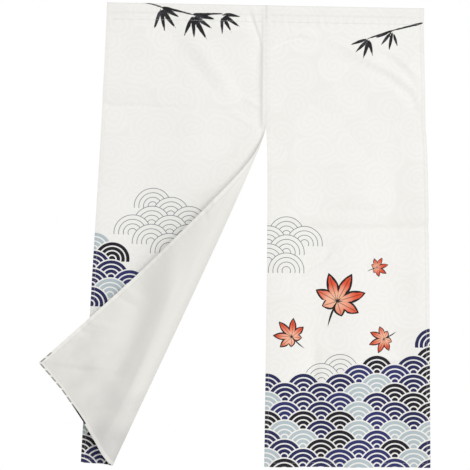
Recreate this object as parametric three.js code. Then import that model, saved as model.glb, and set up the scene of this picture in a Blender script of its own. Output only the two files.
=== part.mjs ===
// A split door curtain of two hemmed panels, sewn edge to edge at the head and open below. Each panel
// hangs from its own rod pocket. The lower slit-side corner of the left panel is turned back in a soft
// roll, so that it lies in front of the panel and shows the back of the cloth.
// Millimetres, +Z up. The origin is at the middle of the top edge and the front faces -Y.
import * as THREE from "three";

// Cut sizes
const DROP = 1200; // top edge to foot
const PANEL_WIDTH = 420; // finished width of each panel
const POCKET_DROP = 45; // top edge to the stitching under the rod pocket
const SLIT_TOP = 330; // top edge to the end of the centre seam
const CLOTH = 1.6; // thickness of the cloth
const HEM_CLOTH = 2.4; // thickness where it is turned over in a hem
const SIDE_HEM = 10;
const FOOT_HEM = 12;
const HEM_STEP = 3; // width of the step down from a hem to single cloth
const GAP = 0.3; // clearance between neighbouring pieces

// Rod pocket, a loop that hangs as a drop around a slim rod
const POCKET_RADIUS = 8; // outer radius over the rod
const POCKET_BAND = 4; // stitched band at its foot, two layers thick
const POCKET_POINT = 3; // from that band up to the lowest point of the hollow

// Hang of the panels, as distances that a point moves to the left, to the right or up
const LEFT_SPREAD = 8; // left edge at the slit's top
const LEFT_LEAN = 31; // whole left panel, from the slit's top to the foot
const LEFT_FOOT_RISE = 10; // outer corner of the left foot
const RIGHT_DRIFT = 5; // right panel, midway down the slit
const HEAD_CALM = 120; // below the rod pocket, where the soft folds begin
const ROLL_CALM = 60; // beside the roll, where they end

// Turned-back corner
const FOLD_FOOT_X = -379; // where the fold meets the foot of the panel
const FOLD_FOOT_Z = -1197;
const FOLD_RADIUS = 32; // of the soft roll
const FOLD_RADIUS_TOP = 4; // pinched at the top of the slit
const FOLD_TAPER = 105; // length over which the roll opens from that pinch
const FOLD_BOW = 9; // how far the fold bulges from a straight line
const FLAP_REST = 24; // from the panel to the flap in front of it
const FLAP_SETTLE = 95; // distance over which the flap comes down from the roll
const FLAP_SWING = 0.08; // share of its reach by which the flap is drawn up
const SLOPE_LOSS = 0.31; // reach lost on the slope, for the square of its fall over its length

// Mesh steps
const PANEL_COLUMNS = 13;
const PANEL_ROWS = 30;
const SEAM_ROWS = 9;
const SLIT_ROWS = 27;
const REAR_COLUMNS = 6;
const ROLL_COLUMNS = 9;
const FLAP_COLUMNS = 6;
const FIRST_SLIT_ROW = 24; // below the slit's top, where the roll is already wide enough to mesh
const ROLL_SHARE = 0.75; // most of the turned cloth that the roll's columns take near the slit's top
const FULL_HEM_WIDTH = 80; // turned cloth that is wide enough for a full hem
const POCKET_STEPS = 6;
const POCKET_ARC_STEPS = 10;

// Soft folds of each panel and of the flap. A fold runs between two points of the cloth, measured from
// the panel's top left corner, and stands forward (or back, if negative) by its lift at each end.
const LEFT_FOLDS = [
  { fromX: 40, fromY: 260, toX: 30, toY: 1200, width: 50, liftFrom: 1, liftTo: 6 },
  { fromX: 130, fromY: 120, toX: 110, toY: 1000, width: 60, liftFrom: -1, liftTo: -5 },
  { fromX: 250, fromY: 90, toX: 210, toY: 800, width: 60, liftFrom: 2, liftTo: 5 },
  { fromX: 385, fromY: 110, toX: 405, toY: 320, width: 26, liftFrom: 2, liftTo: 7 },
];
const FLAP_FOLDS = [
  { fromX: 412, fromY: 1192, toX: 325, toY: 1100, width: 24, liftFrom: 3, liftTo: 2 },
  { fromX: 330, fromY: 830, toX: 300, toY: 1060, width: 38, liftFrom: -2, liftTo: -5 },
];
const RIGHT_FOLDS = [
  { fromX: 45, fromY: 380, toX: 55, toY: 1200, width: 50, liftFrom: 2, liftTo: 7 },
  { fromX: 150, fromY: 640, toX: 130, toY: 1200, width: 46, liftFrom: -1, liftTo: -8 },
  { fromX: 225, fromY: 300, toX: 235, toY: 1200, width: 60, liftFrom: 1, liftTo: 8 },
  { fromX: 330, fromY: 420, toX: 325, toY: 1200, width: 52, liftFrom: -2, liftTo: -6 },
  { fromX: 405, fromY: 160, toX: 410, toY: 1200, width: 42, liftFrom: 2, liftTo: 7 },
];

const HEAD = POCKET_DROP + GAP; // where a panel starts below its pocket

const share = (value, start, end) => THREE.MathUtils.clamp((value - start) / (end - start), 0, 1);
const soft = (value, start, end) => THREE.MathUtils.smoothstep(value, start, end);

// Values from start to end in a number of even steps, both ends included
function evenly(start, end, steps) {
  return Array.from({ length: steps + 1 }, (_, i) => THREE.MathUtils.lerp(start, end, i / steps));
}

// How far a panel's soft folds carry a point of its cloth forward
function foldLift(folds, u, v) {
  let lift = 0;
  for (const fold of folds) {
    const runX = fold.toX - fold.fromX;
    const runY = fold.toY - fold.fromY;
    const along = share((u - fold.fromX) * runX + (v - fold.fromY) * runY, 0, runX * runX + runY * runY);
    const away = Math.hypot(u - fold.fromX - along * runX, v - fold.fromY - along * runY);
    const crest = THREE.MathUtils.lerp(fold.liftFrom, fold.liftTo, along);
    lift += crest * Math.exp(-((away / fold.width) ** 2));
  }
  return lift * soft(v, HEAD, HEAD + HEAD_CALM);
}

// The right panel hangs freely: u runs from the seam to the outer edge, v from the top edge down
function hangRight(u, v) {
  const drift = RIGHT_DRIFT * Math.sin(Math.PI * Math.sqrt(share(v, SLIT_TOP, DROP)));
  return new THREE.Vector3(GAP / 2 + u + drift, -foldLift(RIGHT_FOLDS, u, v), -v);
}

// The left panel before its corner is turned back: u runs from the outer edge to the seam
function spreadLeft(u, v) {
  const fromSeam = 1 - u / PANEL_WIDTH;
  const spread = LEFT_SPREAD * share(v, 0, SLIT_TOP) * fromSeam;
  const lean = LEFT_LEAN * share(v, SLIT_TOP, DROP);
  const rise = LEFT_FOOT_RISE * fromSeam ** 4 * (v / DROP) ** 2;
  return new THREE.Vector2(u - PANEL_WIDTH - GAP / 2 - spread - lean, rise - v);
}

// Line of the turned-back corner, from the slit's top to the foot
const foldTop = spreadLeft(PANEL_WIDTH, SLIT_TOP);
const foldLine = new THREE.Vector2(FOLD_FOOT_X, FOLD_FOOT_Z).sub(foldTop);
const FOLD_LENGTH = foldLine.length();
const alongFold = foldLine.clone().normalize();
const towardsFlap = new THREE.Vector2(alongFold.y, -alongFold.x);

const rollRadius = (t) =>
  FOLD_RADIUS_TOP + (FOLD_RADIUS - FOLD_RADIUS_TOP) * (1 - Math.exp(-Math.max(t, 0) / FOLD_TAPER));
const rollBow = (t) => FOLD_BOW * Math.sin(Math.PI * Math.sqrt(share(t, 0, FOLD_LENGTH)));

// How far the flap stands in front of the panel, and how far it reaches from the roll, at a distance
// along the cloth past the roll
function flapPlace(past, radius) {
  const rest = Math.min(FLAP_REST, 2 * radius);
  const fall = 2 * radius - rest;
  const settled = 1 - Math.exp(-((past / FLAP_SETTLE) ** 2));
  const slopeLoss = (SLOPE_LOSS * fall * fall) / FLAP_SETTLE;
  return { lift: 2 * radius - fall * settled, reach: past - slopeLoss * settled };
}

// The left panel as it hangs: flat behind, round the roll, and back over its own front as a flap
function hangLeft(u, v) {
  const flat = spreadLeft(u, v);
  const fromTop = flat.clone().sub(foldTop);
  const t = fromTop.dot(alongFold);
  const bow = rollBow(t);
  const radius = rollRadius(t);
  const rolled = -fromTop.dot(towardsFlap) - bow + radius; // cloth past the start of the roll
  if (rolled <= 0) {
    const calm = soft(-rolled, 0, ROLL_CALM);
    return new THREE.Vector3(flat.x, -calm * foldLift(LEFT_FOLDS, u, v), flat.y);
  }
  const past = Math.max(rolled - Math.PI * radius, 0);
  const turn = Math.min(rolled / radius, Math.PI);
  const flap = flapPlace(past, radius);
  const folds = soft(past, 0, ROLL_CALM) * foldLift(FLAP_FOLDS, u, v);
  const lift = past > 0 ? flap.lift + folds : radius * (1 - Math.cos(turn));
  const across = radius * (1 - Math.sin(turn)) - bow + (past > 0 ? flap.reach : 0);
  const place = foldTop.clone();
  place.addScaledVector(alongFold, t - FLAP_SWING * past);
  place.addScaledVector(towardsFlap, across);
  return new THREE.Vector3(place.x, -lift, place.y);
}

// Closed solid of a cloth, from rows of points with a thickness each. A row that is longer than the one
// above it opens out from that row's last point as a fan.
function clothSolid(rows) {
  const points = [];
  const triangles = [];
  const starts = [];
  for (const row of rows) {
    starts.push(points.length);
    points.push(...row);
  }
  for (let i = 0; i + 1 < rows.length; i++) {
    const upper = rows[i].length;
    for (let j = 0; j + 1 < rows[i + 1].length; j++) {
      const a = starts[i] + Math.min(j, upper - 1);
      const b = starts[i] + Math.min(j + 1, upper - 1);
      const c = starts[i + 1] + j;
      const d = c + 1;
      triangles.push([a, c, d]);
      if (a !== b) triangles.push([a, d, b]);
    }
  }

  const middle = new THREE.BufferGeometry();
  middle.setAttribute(
    "position",
    new THREE.Float32BufferAttribute(
      points.flatMap((p) => p.place.toArray()),
      3,
    ),
  );
  middle.setIndex(triangles.flat());
  middle.computeVertexNormals();
  const normals = middle.getAttribute("normal");

  const count = points.length;
  const position = new Float32Array(count * 6);
  points.forEach((p, i) => {
    const offset = new THREE.Vector3().fromBufferAttribute(normals, i).multiplyScalar(p.thickness / 2);
    p.place.clone().add(offset).toArray(position, i * 3);
    p.place.clone().sub(offset).toArray(position, (count + i) * 3);
  });

  const index = [];
  const edges = new Set(triangles.flatMap(([a, b, c]) => [`${a},${b}`, `${b},${c}`, `${c},${a}`]));
  for (const [a, b, c] of triangles) {
    index.push(a, b, c, count + c, count + b, count + a);
    for (const [from, to] of [[a, b], [b, c], [c, a]]) {
      if (edges.has(`${to},${from}`)) continue;
      index.push(to, from, count + from, to, count + from, count + to);
    }
  }
  const solid = new THREE.BufferGeometry();
  solid.setAttribute("position", new THREE.BufferAttribute(position, 3));
  solid.setIndex(index);
  solid.computeVertexNormals();
  return solid;
}

// Distances across a panel with its two side hems and their steps
function hemmedColumns(width, steps) {
  const inner = evenly(SIDE_HEM + HEM_STEP, width - SIDE_HEM - HEM_STEP, steps);
  return [0, SIDE_HEM, ...inner, width - SIDE_HEM, width];
}

// Distances down a panel from a start to the foot, with the foot hem and its step
function hemmedRows(start, steps) {
  return [...evenly(start, DROP - FOOT_HEM - HEM_STEP, steps), DROP - FOOT_HEM, DROP];
}

// One row of a panel's points. The two outermost columns on each side, and a hem row, are doubled cloth.
function clothRow(hang, columns, v) {
  const hemRow = v >= DROP - FOOT_HEM;
  return columns.map((u, i) => {
    const hem = hemRow || i < 2 || i > columns.length - 3;
    return { place: hang(u, v), thickness: hem ? HEM_CLOTH : CLOTH };
  });
}

// Distances across the left panel below the slit's top: the rear layer up to the roll, round the roll,
// and along the flap to the hem on its free edge
function turnedColumns(v) {
  const slope = FOLD_LENGTH / -foldLine.y; // horizontal distance for each unit square to the fold
  const t = (v - SLIT_TOP) * slope;
  const radius = rollRadius(t);
  const footU = FOLD_FOOT_X + PANEL_WIDTH + LEFT_LEAN + LEFT_SPREAD;
  const foldU = THREE.MathUtils.lerp(PANEL_WIDTH, footU, share(v, SLIT_TOP, DROP)) + rollBow(t) * slope;
  const rollStart = foldU - radius * slope;
  const hemShare = share(PANEL_WIDTH - rollStart, 0, FULL_HEM_WIDTH);
  const hem = SIDE_HEM * hemShare;
  const flapEnd = PANEL_WIDTH - hem - HEM_STEP * hemShare;
  const rollEnd = rollStart + Math.min(Math.PI * radius * slope, ROLL_SHARE * (flapEnd - rollStart));
  return [
    0,
    SIDE_HEM,
    ...evenly(SIDE_HEM + HEM_STEP, rollStart, REAR_COLUMNS + 2),
    ...evenly(rollStart, rollEnd, ROLL_COLUMNS).slice(1),
    ...evenly(rollEnd, flapEnd, FLAP_COLUMNS).slice(1),
    PANEL_WIDTH - hem,
    PANEL_WIDTH,
  ];
}

function panelRight() {
  const columns = hemmedColumns(PANEL_WIDTH, PANEL_COLUMNS);
  return clothSolid(hemmedRows(HEAD, PANEL_ROWS).map((v) => clothRow(hangRight, columns, v)));
}

function panelLeft() {
  const columns = hemmedColumns(PANEL_WIDTH, REAR_COLUMNS);
  const sewn = evenly(HEAD, SLIT_TOP, SEAM_ROWS).map((v) => clothRow(hangLeft, columns, v));
  const open = hemmedRows(SLIT_TOP + FIRST_SLIT_ROW, SLIT_ROWS);
  return clothSolid([...sewn, ...open.map((v) => clothRow(hangLeft, turnedColumns(v), v))]);
}

// Outline of a drop: round at the top, with straight sides that close on a foot of some half width
function traceDrop(outline, radius, footHalf, foot) {
  const centre = -POCKET_RADIUS;
  const lean = Math.asin((radius - footHalf) / (foot - POCKET_RADIUS));
  outline.moveTo(footHalf, -foot);
  outline.lineTo(radius * Math.cos(lean), centre - radius * Math.sin(lean));
  outline.absarc(0, centre, radius, -lean, Math.PI + lean, false);
  outline.lineTo(-footHalf, -foot);
}

// The turned-over head of one panel, open at both ends
function rodPocket() {
  const section = new THREE.Shape();
  traceDrop(section, POCKET_RADIUS, CLOTH, POCKET_DROP - POCKET_BAND);
  section.lineTo(-CLOTH, -POCKET_DROP);
  section.lineTo(CLOTH, -POCKET_DROP);
  section.closePath();
  const hollow = new THREE.Path();
  traceDrop(hollow, POCKET_RADIUS - CLOTH, 0, POCKET_DROP - POCKET_BAND - POCKET_POINT);
  section.holes.push(hollow);
  return new THREE.ExtrudeGeometry(section, {
    depth: PANEL_WIDTH,
    bevelEnabled: false,
    curveSegments: POCKET_ARC_STEPS,
    steps: POCKET_STEPS,
  });
}

const OFF_WHITE = 0xefeee9;

function addPiece(name, geometry) {
  const cloth = new THREE.MeshStandardMaterial({ color: OFF_WHITE, roughness: 0.85, metalness: 0 });
  const mesh = new THREE.Mesh(geometry, cloth);
  mesh.name = name;
  curtain.add(mesh);
  return mesh;
}

const curtain = new THREE.Group();
addPiece("panel_left", panelLeft());
addPiece("panel_right", panelRight());
for (const [name, startX] of [
  ["rod_pocket_left", -PANEL_WIDTH - GAP / 2],
  ["rod_pocket_right", GAP / 2],
]) {
  const pocket = addPiece(name, rodPocket());
  pocket.rotation.set(Math.PI / 2, Math.PI / 2, 0); // the section stands in YZ and runs along X
  pocket.position.x = startX;
}

export default curtain;
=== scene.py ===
"""Looks of a split door curtain that hangs by its rod pockets, with one lower corner turned back.

Each panel is one cut of cloth: a flat grid that is hung by the same sizes as the solids it stands for,
then given its thickness, hems, creases, stitching and print. Lengths held by the classes are in
millimetres on the cut, x from the curtain's left edge and v down from its top edge. Meshes are in metres.
"""

import logging
import math
from abc import ABC, abstractmethod
from dataclasses import dataclass
from enum import Enum
from functools import reduce

import bpy
import numpy as np
from mathutils import Matrix, Vector


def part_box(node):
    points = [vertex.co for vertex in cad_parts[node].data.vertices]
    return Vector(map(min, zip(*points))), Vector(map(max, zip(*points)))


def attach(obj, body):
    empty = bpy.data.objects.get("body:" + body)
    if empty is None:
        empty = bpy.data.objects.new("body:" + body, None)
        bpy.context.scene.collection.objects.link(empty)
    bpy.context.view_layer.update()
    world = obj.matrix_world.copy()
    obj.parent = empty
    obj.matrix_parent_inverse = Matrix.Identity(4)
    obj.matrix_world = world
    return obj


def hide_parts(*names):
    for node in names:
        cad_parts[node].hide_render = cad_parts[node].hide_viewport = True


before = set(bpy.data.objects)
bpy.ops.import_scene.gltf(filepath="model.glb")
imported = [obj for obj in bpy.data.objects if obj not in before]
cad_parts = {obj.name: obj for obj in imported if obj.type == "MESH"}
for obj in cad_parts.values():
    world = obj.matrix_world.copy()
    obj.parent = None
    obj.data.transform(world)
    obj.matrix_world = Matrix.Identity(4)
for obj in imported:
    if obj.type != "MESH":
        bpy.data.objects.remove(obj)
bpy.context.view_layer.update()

MM = 0.001
CUT_MAP = "Cut"
BAKE_MAP = "OFBake"
WHITE = (1.0, 1.0, 1.0, 1.0)
Numbers = np.ndarray
Place = tuple[float, float, float]
Colour = tuple[float, float, float, float]
log = logging.getLogger("curtain")


def share(value: Numbers, start: float, end: float) -> Numbers:
    """Returns how far value is from start to end, held between 0 and 1."""
    return np.clip((np.asarray(value, float) - start) / (end - start), 0.0, 1.0)


def soft(value: Numbers, start: float, end: float) -> Numbers:
    """Returns share() with eased ends."""
    step = share(value, start, end)
    return step * step * (3.0 - 2.0 * step)


def spaced(start: float, end: float, pitch: float) -> Numbers:
    """Returns even steps from start to end, about a pitch apart."""
    return np.linspace(start, end, round((end - start) / pitch) + 1)


class Side(Enum):
    """Which of the two panels, as seen from the front."""

    LEFT = "left"
    RIGHT = "right"


class Face(Enum):
    """Which face of the cloth, as the way in which it looks."""

    FRONT = 1.0
    BACK = -1.0


class Grain(Enum):
    """How finely a cloudy noise is broken up."""

    SOFT = 1.0
    PLAIN = 2.0
    FINE = 3.0


class Dye(Enum):
    """Colours of the cloth and its print, as sRGB."""

    CLOTH = (240, 239, 235)
    SCROLL = (248, 247, 244)
    # Darker than CLOTH partly as the back's own colour and partly as painted shade of the turned-back
    # flap
    BACK = (231, 230, 225)
    HEM = (246, 245, 240)
    NAVY = (36, 38, 84)
    INDIGO = (45, 49, 103)
    NIGHT = (26, 24, 34)
    MIST = (180, 193, 198)
    LINE = (118, 122, 132)
    CORAL = (226, 84, 52)
    PEACH = (249, 190, 160)
    SUMI = (28, 27, 30)
    THREAD = (236, 235, 230)
    FLOOR = (236, 235, 232)

    @property
    def linear(self) -> Colour:
        """The colour in linear light, by the curve that defines sRGB.

        Returns:
            Its red, green and blue, and full alpha.
        """
        parts = [part / 255.0 for part in self.value]
        light = [p / 12.92 if p <= 0.04045 else ((p + 0.055) / 1.055) ** 2.4 for p in parts]
        return (light[0], light[1], light[2], 1.0)


@dataclass(frozen=True)
class CutSizes:
    """Sizes of one panel, in millimetres.

    Attributes:
        drop: Top edge to foot.
        width: Finished width of one panel.
        pocket_drop: Top edge to the stitching under the rod pocket.
        seam_gap: Gap between the two panels at the centre seam.
        slit_top: Top edge to the top of the slit.
        side_hem: Depth of the hems at the sides.
        foot_hem: Depth of the hem at the foot.
        tuck: Raw edge that is turned in under the rod pocket.
        cloth: Thickness of the cloth.
        hem_cloth: Its thickness in a hem.
    """

    drop: float
    width: float
    pocket_drop: float
    seam_gap: float
    slit_top: float = 330.0
    side_hem: float = 10.0
    foot_hem: float = 12.0
    tuck: float = 15.0
    cloth: float = 0.9
    hem_cloth: float = 1.6

    @classmethod
    def from_frame(cls) -> "CutSizes":
        """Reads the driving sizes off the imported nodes.

        Returns:
            The sizes of one panel.
        """
        pocket_low, pocket_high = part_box("rod_pocket_right")
        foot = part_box("panel_right")[0]
        return cls(
            drop=round(-foot.z / MM),
            width=round((pocket_high.x - pocket_low.x) / MM, 1),
            pocket_drop=round((pocket_high.z - pocket_low.z) / MM, 1),
            seam_gap=round(2.0 * pocket_low.x / MM, 2),
        )

    @property
    def flat(self) -> tuple[float, float]:
        """Width and length of the cloth before sewing, in metres, with hems that are turned once."""
        length = self.drop + self.pocket_drop + self.tuck + self.foot_hem
        return (self.width + 2.0 * self.side_hem) * MM, length * MM


@dataclass(frozen=True)
class SoftFold:
    """A soft ridge along a run of points, or a trough where its lift is negative.

    Attributes:
        width: How far from the run its lift has mostly gone.
        run: Points of the panel, each its distances across and down, and the lift there.
    """

    width: float
    run: tuple[Place, ...]

    def lift(self, u: Numbers, v: Numbers) -> Numbers:
        """How far the fold carries points of the cloth forward.

        Args:
            u: Distances from the panel's left edge.
            v: Distances from its top edge.

        Returns:
            The lift of each point.
        """
        nearest = np.full(np.shape(u), np.inf)
        side = np.zeros(np.shape(u))
        crest = np.zeros(np.shape(u))
        for (from_u, from_v, from_lift), (to_u, to_v, to_lift) in zip(self.run, self.run[1:]):
            run_u = to_u - from_u
            run_v = to_v - from_v
            dot = (u - from_u) * run_u + (v - from_v) * run_v
            along = share(dot, 0.0, run_u * run_u + run_v * run_v)
            away = np.hypot(u - from_u - along * run_u, v - from_v - along * run_v)
            closer = away < nearest
            nearest = np.where(closer, away, nearest)
            side = np.where(closer, run_u * (v - from_v) - run_v * (u - from_u), side)
            crest = np.where(closer, from_lift + (to_lift - from_lift) * along, crest)
        return crest * self.profile(nearest, side)

    def profile(self, away: Numbers, side: Numbers) -> Numbers:
        """The fold's section, from 1 on the run to 0 far off.

        Args:
            away: Distances from the run.
            side: Above 0 to the right of the run, as one goes along it. Not used by this section.

        Returns:
            The share of the lift that each point has.
        """
        return np.exp(-((away / self.width) ** 2))


@dataclass(frozen=True)
class SharpCrease(SoftFold):
    """A crease that drops off at the right of its run only, and comes back slowly.

    Attributes:
        rounding: How softly it starts to drop, as a share of its width.
    """

    rounding: float = 0.3

    def profile(self, away: Numbers, side: Numbers) -> Numbers:
        """The crease's section, deepest at its width from the run.

        Args:
            away: Distances from the run.
            side: Above 0 to the right of the run, as one goes along it.

        Returns:
            The share of the lift that each point has.
        """
        signed = np.where(side > 0.0, away, -away) / self.width
        out = (signed + np.hypot(signed, self.rounding)) / 2.0
        return out * np.exp(1.0 - out)


Folds = tuple[SoftFold, ...]

# The soft folds that the solids have too
LEFT_FOLDS = (
    SoftFold(50, ((40, 260, 1), (30, 1200, 6))),
    SoftFold(60, ((130, 120, -1), (110, 1000, -5))),
    SoftFold(60, ((250, 90, 2), (210, 800, 5))),
    SoftFold(26, ((385, 110, 2), (405, 320, 7))),
)
FLAP_FOLDS = (
    SoftFold(24, ((412, 1192, 3), (325, 1100, 2))),
    SoftFold(38, ((330, 830, -2), (300, 1060, -5))),
)
RIGHT_FOLDS = (
    SoftFold(50, ((45, 380, 2), (55, 1200, 7))),
    SoftFold(46, ((150, 640, -1), (130, 1200, -8))),
    SoftFold(60, ((225, 300, 1), (235, 1200, 8))),
    SoftFold(52, ((330, 420, -2), (325, 1200, -6))),
    SoftFold(42, ((405, 160, 2), (410, 1200, 7))),
)

LEFT_CREASES = (
    # A level crease from packing, with a soft ridge above it
    SoftFold(6, ((0, 274, -1.8), (17, 278, -2.6), (130, 279, -2.2), (250, 286, -0.5))),
    SoftFold(24, ((0, 238, 3.4), (70, 240, 5.0), (140, 228, 3.6), (205, 222, 1.0))),
    # The sharp crease from the head down beside the centre seam
    SharpCrease(5, ((372, 8, -0.8), (382, 24, -2.6), (392, 48, -3.2), (400, 72, -3.0),
                    (406, 90, -3.0), (410, 114, -2.0), (411, 150, 0.0))),
    SharpCrease(16, ((411, 92, -1.0), (411, 135, -8.0), (411, 250, -9.0), (411, 308, -6.5),
                     (411, 330, -2.4), (411, 346, 0.0)), rounding=0.1),
    # A drag line from the head: a ridge and the trough beside it
    SoftFold(20, ((208, 76, 1.2), (267, 146, 4.2), (318, 216, 2.6), (338, 252, 0.8))),
    SoftFold(20, ((178, 112, -0.8), (226, 158, -2.6), (268, 214, -2.4), (292, 256, -0.6))),
    # Short pulls towards the top of the slit
    SoftFold(9, ((322, 284, 0.6), (357, 305, 2.2), (388, 324, 1.4))),
    SoftFold(8, ((356, 246, 0.5), (372, 255, 2.8), (408, 276, 2.2))),
    SoftFold(12, ((300, 430, 0.8), (402, 345, 2.4))),
    # Faint unevenness
    SoftFold(9, ((0, 590, 0.8), (190, 586, 0.5))),
    SoftFold(16, ((120, 170, 0.9), (210, 240, 0.3))),
    SoftFold(18, ((60, 420, 0.8), (170, 380, 0.4))),
)
FLAP_CREASES = (
    # A ridge and a broad trough that run down to the foot beside the roll
    SoftFold(27, ((410, 742, 3), (360, 795, 4), (308, 838, 2.6), (258, 908, 2.2), (196, 1053, 2.6),
                  (172, 1160, 4))),
    SoftFold(40, ((424, 842, -3), (394, 866, -8), (360, 896, -13), (317, 962, -13),
                  (287, 1010, -14), (265, 1060, -14), (246, 1110, -12.5), (226, 1166, -9))),
    # The free edge, forward at its top and back further down
    SoftFold(34, ((420, 470, 5), (420, 560, 4), (420, 700, 0), (420, 800, -3), (420, 960, -5),
                  (420, 1090, 0))),
    # Short wrinkles in from the free edge
    SoftFold(9, ((416, 590, 1.8), (384, 598, 1.6), (355, 612, 0.4))),
    SoftFold(8, ((414, 628, -1.8), (386, 640, -1.4), (362, 652, -0.4))),
    SoftFold(8, ((412, 938, -2.6), (384, 929, -3.2), (356, 915, -1.0))),
    SoftFold(9, ((414, 914, 1.8), (384, 902, 2.2), (356, 890, 0.4))),
    SoftFold(8, ((410, 1034, 2.6), (382, 1010, 2.8), (358, 992, 0.6))),
    SoftFold(8, ((412, 1068, -3.0), (389, 1054, -3.4), (365, 1025, -1.0))),
    # Wrinkles up from the foot
    SoftFold(9, ((392, 1181, -1.6), (338, 1130, -3.4), (302, 1092, -3.4), (264, 1051, -0.8))),
    SoftFold(10, ((386, 1158, 1.2), (333, 1100, 2.6), (290, 1055, 0.8))),
    SoftFold(18, ((300, 1180, 1.6), (240, 1060, 0.8))),
)
# How far the flap's foot is drawn down along the roll, or up where negative
FOOT_DRAG = SoftFold(90, ((60, 1200, 0), (84, 1200, 2.6), (108, 1200, 7.8), (130, 1200, 11),
                          (156, 1200, 7.8), (180, 1200, 3.4), (208, 1200, 0.6), (240, 1200, -1.8),
                          (330, 1200, -4.6), (420, 1200, -0.4)))
RIGHT_CREASES = (
    # Level creases from packing
    SoftFold(15, ((0, 594, -2.0), (124, 598, -5.5), (200, 598, -7.5), (267, 596, -7.0),
                  (415, 589, -7.5))),
    SoftFold(14, ((120, 556, -1.0), (190, 548, -4.4), (293, 546, -4.4), (386, 524, -1.2))),
    SoftFold(6, ((227, 934, -1.2), (324, 941, -4.0), (412, 930, -3.0))),
    # A pull from the centre seam, under the head
    SoftFold(7, ((26, 112, -2.0), (56, 96, -6.0), (89, 86, -4.0), (120, 90, -0.8))),
    # Drag lines from the head to the outer edge: two ridges, each with the trough below it
    SoftFold(12, ((20, 100, 1.6), (89, 74, 2.0), (159, 86, 1.2), (226, 118, 3.0), (331, 174, 3.4),
                  (388, 222, 2.8), (420, 291, 1.2))),
    SoftFold(14, ((203, 143, -1.2), (324, 192, -3.2), (385, 238, -3.2), (396, 276, -1.0))),
    SoftFold(12, ((290, 96, 0.8), (350, 136, 2.2), (400, 186, 2.6), (420, 236, 1.6))),
    SoftFold(11, ((287, 122, -0.8), (341, 144, -2.4), (371, 174, -2.2), (388, 210, -0.6))),
    # A slanting crease below the outlined scales
    SoftFold(8, ((172, 637, -0.8), (150, 669, -5.0), (100, 702, -5.4), (52, 735, -1.4))),
    # An upright trough and ridge above the foot
    SoftFold(13, ((122, 872, -0.8), (122, 955, -4.6), (123, 1015, -5.0), (126, 1090, -1.5))),
    SoftFold(18, ((150, 872, 0.6), (150, 955, 2.4), (150, 1015, 2.4), (147, 1090, 0.8))),
    # Faint unevenness
    SoftFold(8, ((95, 356, 0.6), (68, 376, 2.2), (40, 397, 0.9))),
    SoftFold(10, ((60, 292, 0.3), (250, 284, 0.5))),
    SoftFold(8, ((150, 392, 0.2), (178, 369, 1.1), (206, 336, 0.3))),
    SoftFold(16, ((250, 470, 0.8), (330, 430, 0.3))),
    SoftFold(12, ((366, 480, 0.4), (420, 455, 1.9))),
    SoftFold(13, ((372, 700, -0.3), (420, 668, -1.4))),
)


@dataclass(frozen=True)
class Pucker:
    """Small waves along a row of stitching, which draws the cloth in.

    Attributes:
        pitch: Length of one wave.
        sway: How far the waves are pushed to and fro, as an angle.
        sway_run: How slowly that changes along the stitching.
        reach: How far from the stitching the waves have mostly gone.
        height: Height of the waves.
    """

    pitch: float
    sway: float
    sway_run: float
    reach: float
    height: float = 0.5

    def lift(self, along: Numbers, away: Numbers, turn: Numbers | float = 0.0) -> Numbers:
        """How far the waves carry points of the cloth forward.

        Args:
            along: Distances along the stitching.
            away: Distances from it.
            turn: Angles by which the waves are shifted.

        Returns:
            The lift of each point.
        """
        sway = self.sway * np.sin(along / self.sway_run)
        waves = np.sin(2.0 * math.pi * along / self.pitch + sway + turn)
        return self.height * waves * np.exp(-away / self.reach)


@dataclass(frozen=True)
class SlowWaver:
    """The slow unevenness of hung cloth, in waves across and down that bend each other.

    Attributes:
        height: Height of the waves.
        across: Length of the waves across, for one radian.
        across_bend: How far they are bent, as an angle.
        across_run: How slowly that changes on the way down.
        down: Length of the waves down, for one radian.
        down_bend: How far they are bent, as an angle.
        down_run: How slowly that changes on the way across.
    """

    height: float = 0.5
    across: float = 37.0
    across_bend: float = 1.7
    across_run: float = 83.0
    down: float = 54.0
    down_bend: float = 1.1
    down_run: float = 61.0

    def lift(self, u: Numbers, v: Numbers) -> Numbers:
        """How far the waves carry points of the cloth forward.

        Args:
            u: Distances from the panel's left edge.
            v: Distances from its top edge.

        Returns:
            The lift of each point.
        """
        across = np.sin(u / self.across + self.across_bend * np.sin(v / self.across_run))
        down = np.sin(v / self.down + self.down_bend * np.sin(u / self.down_run))
        return self.height * across * down


@dataclass(frozen=True)
class RodPocket:
    """The head of a panel, turned over a slim rod and stitched down behind.

    Attributes:
        drop: Top edge to the stitching.
        radius: Radius of the cloth's turn over the rod.
        band: Height of the band that is stitched flat.
        half_gap: Half the distance between the two layers in that band.
        cover: Half the cloth's thickness, which lies above the turn.
    """

    drop: float
    radius: float = 7.3
    band: float = 4.0
    half_gap: float = 0.75
    cover: float = 0.5

    def section(self, v: Numbers) -> tuple[Numbers, Numbers]:
        """Where the cloth runs in the pocket, seen along the rod.

        Args:
            v: Distances down the front from the top edge, or down the back if negative.

        Returns:
            How far behind the middle, and how far up, each point is.
        """
        foot = self.drop - self.band
        top = self.radius + self.cover
        lean = math.asin((self.radius - self.half_gap) / (foot - top))
        side = (foot - top) * math.cos(lean)
        arc = self.radius * (math.pi / 2.0 + lean)
        run = np.abs(v) / self.drop * (arc + side + self.band)
        angle = math.pi / 2.0 - np.minimum(run, arc) / self.radius
        down = np.clip(run - arc, 0.0, side)
        straight = np.maximum(run - arc - side, 0.0)
        depth = self.radius * np.cos(angle) - down * math.sin(lean)
        height = self.radius * np.sin(angle) - top - down * math.cos(lean) - straight
        return np.where(v < 0.0, depth, -depth), height


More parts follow.
